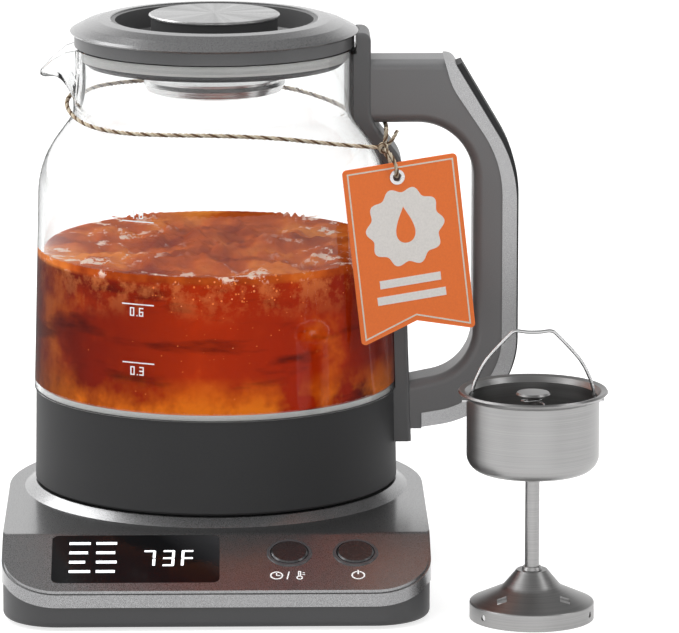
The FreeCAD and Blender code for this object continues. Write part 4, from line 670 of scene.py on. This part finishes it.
def flat_shapes(name, outlines, place, thickness=0.04):
    """Thin raised shapes: each outline is a list of (across, up), place maps them to 3-D."""
    grid = bmesh.new()
    for outline in outlines:
        low = [grid.verts.new(place(across, up, 0.0)) for across, up in outline]
        high = [grid.verts.new(place(across, up, thickness)) for across, up in outline]
        grid.faces.new(low[::-1])
        grid.faces.new(high)
        for index in range(len(outline)):
            after = (index + 1) % len(outline)
            grid.faces.new((low[index], low[after], high[after], high[index]))
    bmesh.ops.recalc_face_normals(grid, faces=grid.faces[:])
    return from_bmesh(name, grid)


def ring_shapes(outline, width):
    """A closed band of the given width just inside an outline, as four-sided pieces."""
    inner = []
    count = len(outline)
    for index, (across, up) in enumerate(outline):
        before = Vector(outline[index - 1])
        here = Vector((across, up))
        after = Vector(outline[(index + 1) % count])
        first = (here - before).normalized()
        second = (after - here).normalized()
        normal = Vector((-(first + second).y, (first + second).x)).normalized()
        lean = max(0.35, normal.dot(Vector((-first.y, first.x))))
        inner.append(here + normal * (width / lean))
    return [
        [outline[i], outline[(i + 1) % count], tuple(inner[(i + 1) % count]), tuple(inner[i])]
        for i in range(count)
    ]


def bar(left, low, width, height):
    """A rectangle's outline from its lower left corner."""
    right, top = left + width, low + height
    return [(left, low), (right, low), (right, top), (left, top)]


def round_outline(radius, centre=(0, 0), steps=40, ripple=0.0, lobes=0):
    """A circle's outline, scalloped when it has lobes."""
    outline = []
    for step in range(steps):
        angle = TURN * step / steps
        reach = radius + ripple * math.cos(lobes * angle)
        outline.append(
            (centre[0] + reach * math.cos(angle), centre[1] + reach * math.sin(angle))
        )
    return outline


# ---- tea

def glass_inside(height):
    """Inner radius of the jug below its shoulder."""
    share = (height - GLASS_FOOT[1]) / (GLASS_SHOULDER[1] - GLASS_FOOT[1])
    outer = GLASS_FOOT[0] + (GLASS_SHOULDER[0] - GLASS_FOOT[0]) * share
    return outer - GLASS_WALL


def tea_wave(place):
    """Ripples on the tea's surface, still at the glass."""
    if place.z < TEA_LEVEL - 3:
        return place
    reach = math.hypot(place.x, place.y)
    still_reach = 60.5
    still = max(0.0, 1 - (reach / still_reach) ** 6)
    rough = noise.fractal(place * 0.075, 0.8, 2.1, 4) * 3.4
    rough += noise.fractal(place * 0.22, 0.9, 2.0, 3) * 1.5
    return Vector((place.x, place.y, place.z + still * rough + (1 - still) * 0.8))


def add_tea():
    """The tea, which reaches slightly into the glass so that no air shows between them."""
    profile = [
        (0, TEA_FLOOR), (30, TEA_FLOOR), (58.4, TEA_FLOOR), (61.35, 64.4), (61.35, 65.35),
    ]
    profile.append((glass_inside(66.4) - 0.1, 66.4))
    profile.append((glass_inside(67.4) + TEA_OVERLAP, 67.4))
    height = 72.0
    while height < TEA_LEVEL - 1:
        profile.append((glass_inside(height) + TEA_OVERLAP, height))
        height += 4
    edge = glass_inside(TEA_LEVEL) + TEA_OVERLAP
    profile.append((edge, TEA_LEVEL - 0.5))
    profile.append((edge - 0.15, TEA_LEVEL + 0.4))
    rings = 44
    for ring in range(1, rings):
        profile.append(((edge - 0.6) * (1 - ring / rings), TEA_LEVEL))
    profile.append((0, TEA_LEVEL + 0.3))
    mesh = turned_mesh("tea", profile, 192, tea_wave)
    tea = add_piece("tea", mesh, "jug", [tea_material()])
    tea.visible_glossy = False


def add_bubbles():
    """Bubbles in the tea behind the front glass, thickest in a slanting cloud."""
    grid = bmesh.new()
    made = 0
    count = 520
    while made < count:
        angle = random.uniform(math.radians(-150), math.radians(-25))
        height = random.uniform(72, TEA_LEVEL + 1.0)
        across = math.cos(angle) * 62
        centre = 2 + (height - 92) * 0.55
        near = math.exp(-((across - centre) / 24) ** 2)
        if random.random() > near * (0.25 + 0.75 * (height - 70) / 45):
            continue
        size = random.uniform(0.18, 0.62) * (1.25 if height > 106 else 1.0)
        reach = glass_inside(min(height, TEA_LEVEL)) - 0.25 - size * 0.4
        place = Vector((math.cos(angle) * reach, math.sin(angle) * reach, height)) * MM
        bmesh.ops.create_icosphere(
            grid, subdivisions=2, radius=size * MM, matrix=Matrix.Translation(place)
        )
        made += 1
    mesh = from_bmesh("tea_bubbles", grid)
    add_piece("tea_bubbles", mesh, "jug", [bubble_material()])


# ---- printing on the glass, panel and tag

def on_glass(azimuth, height):
    """Maps millimetres across and up to the outer face of the glass."""
    def place(across, up, out):
        level = height + up
        radius = glass_inside(level) + GLASS_WALL + 0.03 + out
        angle = azimuth + across / radius
        return Vector((radius * math.cos(angle), radius * math.sin(angle), level)) * MM
    return place


SEGMENTS = {
    "0": "abcdef", "1": "bc", "3": "abgcd", "6": "acdefg", "7": "abc", "F": "aefg", ".": "p",
}


def digit_outlines(text, height, slant=0.0, stroke=0.16, gap=0.035, wide=0.55, apart=0.28):
    """Plain seven-segment numerals."""
    width = height * wide
    thick = height * stroke
    nick = height * gap
    outlines = []
    left = 0.0
    for letter in text:
        if letter == ".":
            outlines.append(bar(left, 0, thick, thick))
            left += thick * 2.2
            continue
        half = height / 2
        parts = {
            "a": bar(left + nick, height - thick, width - 2 * nick, thick),
            "g": bar(left + nick, half - thick / 2, width - 2 * nick, thick),
            "d": bar(left + nick, 0, width - 2 * nick, thick),
            "f": bar(left, half + nick, thick, half - 2 * nick),
            "b": bar(left + width - thick, half + nick, thick, half - 2 * nick),
            "e": bar(left, nick, thick, half - 2 * nick),
            "c": bar(left + width - thick, nick, thick, half - 2 * nick),
        }
        outlines.extend(parts[key] for key in SEGMENTS[letter])
        left += width + height * apart
    return [[(x + y * slant, y) for x, y in outline] for outline in outlines]


def moved(outlines, across, up):
    """The same outlines shifted."""
    return [[(x + across, y + up) for x, y in outline] for outline in outlines]


# Each level mark: azimuth in degrees, height, number, and the number's rise above its line.
GRADUATIONS = (
    (-120.9, 134.7, "1.0", 1.0),
    (-120.6, 105.2, "0.6", -4.2),
    (-120.3, 84.3, "0.3", -4.4),
)


def add_graduations():
    """The level marks, from the highest down."""
    # The white print also shines a little by itself: painted glow.
    ink = lit_material("white_ink_glow", (0.86, 0.84, 0.82), 0.25)
    for number, (azimuth, height, text, text_up) in enumerate(GRADUATIONS, start=1):
        outlines = [bar(0, -0.22, 12.4, 0.44)]
        outlines += moved(digit_outlines(text, 3.1, stroke=0.14, gap=0.0), 3.2, text_up)
        mesh = flat_shapes(
            f"graduation_{number}", outlines, on_glass(math.radians(azimuth), height)
        )
        add_piece(f"graduation_{number}", mesh, "jug", [ink], smooth=False)


def on_panel(side, down, out):
    """Maps millimetres across and up the slope to the panel's face."""
    def place(across, up, lift):
        return panel_point(side + across, down - up, out + lift)
    return place


def add_display():
    """The display's reading and the blank bars of its legend."""
    white = lit_material("display_white", (0.95, 0.97, 1.0), 1.1)
    face = on_panel(0, 0, PRINT_LIFT)
    number = digit_outlines("73F", 9.4, slant=0.04, stroke=0.1, wide=0.46, apart=0.25)
    number = moved(number, -25.8, -19.6)
    mesh = flat_shapes("display_digits", number, face, THIN_PRINT)
    add_piece("display_digits", mesh, "base", [white], smooth=False)
    bars = []
    for row in range(4):
        low = -6.6 - 5.6 * row
        bars.append(bar(-51.4, low, 7.4 - 0.9 * (row % 3), 1.5))
        bars.append(bar(-42.0, low, 7.2 - 0.6 * (row % 2), 1.5))
    mesh = flat_shapes("display_legend", bars, face, THIN_PRINT)
    add_piece("display_legend", mesh, "base", [white], smooth=False)


def add_panel_icons():
    """Generic signs under the buttons: a clock and a thermometer, and a power sign."""
    # The panel's print also shines a little by itself: painted glow.
    ink = lit_material("panel_ink_glow", (0.80, 0.80, 0.80), 0.12)
    clock = ring_shapes(round_outline(2.3, steps=32), 0.5)
    clock += [bar(-0.22, 0, 0.44, 1.5), bar(0, -0.22, 1.3, 0.44)]
    timer = moved(clock, -4.0, 0)
    timer.append([(-0.6, -2.2), (-0.15, -2.2), (0.6, 2.2), (0.15, 2.2)])
    timer += ring_shapes(round_outline(1.15, (4.0, -1.3), steps=24), 0.45)
    timer += [bar(3.45, -0.3, 0.4, 2.6), bar(4.15, -0.3, 0.4, 2.6)]
    timer += [bar(3.45, 2.2, 1.1, 0.4), bar(5.0, 0.3, 0.9, 0.4), bar(5.0, 1.4, 0.9, 0.4)]
    power = ring_shapes(round_outline(2.4, steps=32), 0.5)
    power = [piece for piece in power if min(point[1] for point in piece) < 1.8]
    power.append(bar(-0.24, 0.6, 0.48, 2.4))
    face = on_panel(0, 0, PRINT_LIFT)
    for name, side, outlines in (("timer_icon", 24.9, timer), ("power_icon", 49.3, power)):
        mesh = flat_shapes(name, moved(outlines, side, -25.6), face, THIN_PRINT)
        add_piece(name, mesh, "base", [ink], smooth=False)


def tag_point(across, up, out):
    """A point of the tag in metres, from millimetres about its hole."""
    flat = Vector((math.cos(TAG_YAW), math.sin(TAG_YAW), 0))
    face = Vector((math.sin(TAG_YAW), -math.cos(TAG_YAW), 0))
    rise = Vector((0, 0, 1))
    right = flat * math.cos(TAG_TILT) + rise * math.sin(TAG_TILT)
    top = rise * math.cos(TAG_TILT) - flat * math.sin(TAG_TILT)
    return (TAG_HOLE + right * across + top * up + face * out) * MM


def add_tag_print():
    """The tag's border, its scalloped badge with a drop, and two blank bars."""
    cream = card_material("tag_cream", (0.83, 0.74, 0.62))
    white = card_material("tag_white", (0.90, 0.86, 0.82))
    left = TAG_SHIFT - TAG_WIDTH / 2 + 1.5
    right = TAG_SHIFT + TAG_WIDTH / 2 - 1.5
    low = TAG_ABOVE_HOLE - TAG_LENGTH + 1.9
    border = [(left, low), (TAG_SHIFT, low + 6.4), (right, low), (right, 3.7), (left, 3.7)]
    pieces = ring_shapes(border, 0.55)

    def place(across, up, out):
        return tag_point(across, up, TAG_FACE + out)

    mesh = flat_shapes("tag_border", pieces, place)
    add_piece("tag_border", mesh, "tag", [cream], smooth=False)
    centre = (0.9, -18.2)
    badge = [round_outline(13.5, centre, 200, 0.95, 10)]
    mesh = flat_shapes("tag_badge", badge, place)
    add_piece("tag_badge", mesh, "tag", [white], smooth=False)
    drop = []
    steps = 48
    for angle in (TURN * step / steps for step in range(steps)):
        across = centre[0] + 4.9 * math.sin(angle) * math.sin(angle / 2) ** 1.4
        drop.append((across, centre[1] + 0.8 + 6.6 * math.cos(angle)))
    over_badge = 0.05
    mesh = flat_shapes(
        "tag_drop", [drop], lambda a, u, o: place(a, u, over_badge + o), THIN_PRINT
    )
    add_piece("tag_drop", mesh, "tag", [looks["card"]], smooth=False)
    bars = [bar(-10.6, -39.3, 22.4, 3.0), bar(-12.1, -45.1, 25.2, 3.0)]
    mesh = flat_shapes("tag_bars", bars, place)
    add_piece("tag_bars", mesh, "tag", [white], smooth=False)


# ---- twine

def smooth_line(name, points, order=3):
    """Points read from a NURBS spline through the route's control points, in metres."""
    curve = bpy.data.curves.new(name, "CURVE")
    curve.dimensions = "3D"
    spline = curve.splines.new("NURBS")
    spline.points.add(len(points) - 1)
    for point, place in zip(spline.points, points):
        point.co = (*(Vector(place)), 1)
    spline.order_u = order
    spline.use_endpoint_u = True
    spline.resolution_u = 24
    holder = bpy.data.objects.new(name, curve)
    bpy.context.scene.collection.objects.link(holder)
    bpy.context.view_layer.update()
    mesh = bpy.data.meshes.new_from_object(holder)
    line = [vertex.co.copy() for vertex in mesh.vertices]
    bpy.data.objects.remove(holder)
    bpy.data.curves.remove(curve)
    bpy.data.meshes.remove(mesh)
    return line


def even(line, step):
    """The same line with points a step apart."""
    result = [line[0]]
    rest = step
    for start, end in zip(line, line[1:]):
        span = (end - start).length
        while span > rest:
            start = start + (end - start).normalized() * rest
            span = (end - start).length
            result.append(start.copy())
            rest = step
        rest -= span
    result.append(line[-1])
    return result


def strands_mesh(name, line, radius, pitch, count=3, sides=7):
    """Strands laid round each other along a line, one material slot to a strand."""
    grid = bmesh.new()
    step_along = radius * 0.75
    line = even(line, step_along)
    tangents = [
        (line[min(i + 1, len(line) - 1)] - line[max(i - 1, 0)]).normalized()
        for i in range(len(line))
    ]
    side = tangents[0].orthogonal().normalized()
    frames = []
    for tangent in tangents:
        side = (side - tangent * side.dot(tangent)).normalized()
        frames.append((side.copy(), tangent.cross(side)))
    thick = radius * 0.54
    offset = radius - thick
    for strand in range(count):
        before = None
        for index, (place, (first, second)) in enumerate(zip(line, frames)):
            turn = TURN * (strand / count + index * step_along / pitch)
            out = first * math.cos(turn) + second * math.sin(turn)
            over = tangents[index].cross(out)
            centre = place + out * offset
            wobble = 1 + 0.1 * noise.noise(Vector((index * 0.3, strand * 9.1, 0)))
            ring = []
            for step in range(sides):
                angle = TURN * step / sides
                ring.append(
                    grid.verts.new(
                        centre
                        + (out * math.cos(angle) + over * math.sin(angle)) * thick * wobble
                    )
                )
            if before:
                for step in range(sides):
                    after = (step + 1) % sides
                    face = grid.faces.new(
                        (before[step], before[after], ring[after], ring[step])
                    )
                    face.material_index = strand
            else:
                grid.faces.new(ring[::-1]).material_index = strand
            before = ring
        grid.faces.new(before).material_index = strand
    return from_bmesh(name, grid)


TWINE_ROUTE = [
    (0.0576, -0.0369, 0.1572), (0.0484, -0.0385, 0.1580), (0.0365, -0.0436, 0.1602),
    (0.0210, -0.0499, 0.1629), (0.0025, -0.0535, 0.1644), (-0.0165, -0.0509, 0.1642),
    (-0.0335, -0.0420, 0.1634), (-0.0459, -0.0284, 0.1639), (-0.0524, -0.0115, 0.1660),
    (-0.0534, 0.0060, 0.1682), (-0.0482, 0.0236, 0.1689), (-0.0374, 0.0386, 0.1684),
    (-0.0220, 0.0489, 0.1677), (-0.0040, 0.0534, 0.1672), (0.0145, 0.0518, 0.1663),
    (0.0315, 0.0440, 0.1648), (0.0450, 0.0335, 0.1623), (0.0546, 0.0226, 0.1603),
    (0.0609, 0.0105, 0.1594), (0.0616, -0.0035, 0.1592), (0.0612, -0.0165, 0.1587),
    (0.0606, -0.0270, 0.1580), (0.0600, -0.0349, 0.1572),
]
KNOT = Vector((0.0595, -0.0368, 0.1570))


def add_twine():
    """The loop round the neck, its knot and tails, and the tag's string."""
    cream = looks["twine"]
    brown = twine_material("twine_brown", (0.16, 0.09, 0.045))
    pale = twine_material("twine_pale", (0.74, 0.65, 0.50))
    line = smooth_line("twine_route", TWINE_ROUTE)
    mesh = strands_mesh("twine_loop", line, LOOP_RADIUS, LOOP_PITCH)
    loop = add_piece("twine_loop", mesh, "jug", [cream, brown, pale])
    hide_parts("twine_loop_tube")
    even(line, 0.001)
    turns = 3
    steps = 26 * turns
    route = []
    for step in range(steps + 1):
        share = step / steps
        angle = TURN * turns * share
        reach = 0.00125 + 0.0002 * math.sin(angle * 1.7)
        route.append(
            KNOT
            + Vector((
                math.cos(angle) * reach,
                (share - 0.5) * 0.0016,
                math.sin(angle) * reach,
            ))
        )
    mesh = strands_mesh("twine_wraps", route, THIN_RADIUS, THIN_PITCH)
    knot = add_piece("twine_wraps", mesh, "jug", [cream, brown, pale])
    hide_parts("twine_knot")
    grid = bmesh.new()
    for steps in (
        ((0.0006, -0.0004, 0.0019), (0.0014, -0.0010, 0.0044), (0.0008, -0.0016, 0.0074)),
        ((0.0017, 0.0002, 0.0012), (0.0036, -0.0004, 0.0030), (0.0050, -0.0008, 0.0064)),
    ):
        line = smooth_line("tail", [KNOT + Vector(step) for step in steps])
        part = strands_mesh("tail", line, THIN_RADIUS, THIN_PITCH)
        grid.from_mesh(part)
        bpy.data.meshes.remove(part)
    mesh = from_bmesh("twine_ends", grid)
    ends = add_piece("twine_ends", mesh, "jug", [cream, brown, pale])
    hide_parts("twine_tails")
    route = [
        tag_point(*step)
        for step in (
            (-2.2, 9.6, -4.2), (-1.6, 8.9, -1.2), (-0.9, 7.2, 1.7), (-0.2, 2.6, 2.5),
            (0.0, -0.2, 0.3), (0.0, 0.4, -2.6), (-0.3, 3.2, -3.6), (-1.8, 7.4, -5.3),
            (-2.4, 8.9, -5.6),
        )
    ]
    line = smooth_line("hang_route", route)
    mesh = strands_mesh("tag_hanging_string", line, THIN_RADIUS, THIN_PITCH)
    hang = add_piece("tag_hanging_string", mesh, "jug", [cream, brown, pale])
    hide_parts("tag_string_tube")


add_tea()
add_bubbles()
add_graduations()
add_display()
add_panel_icons()
add_tag_print()
add_twine()
light_past_glass()
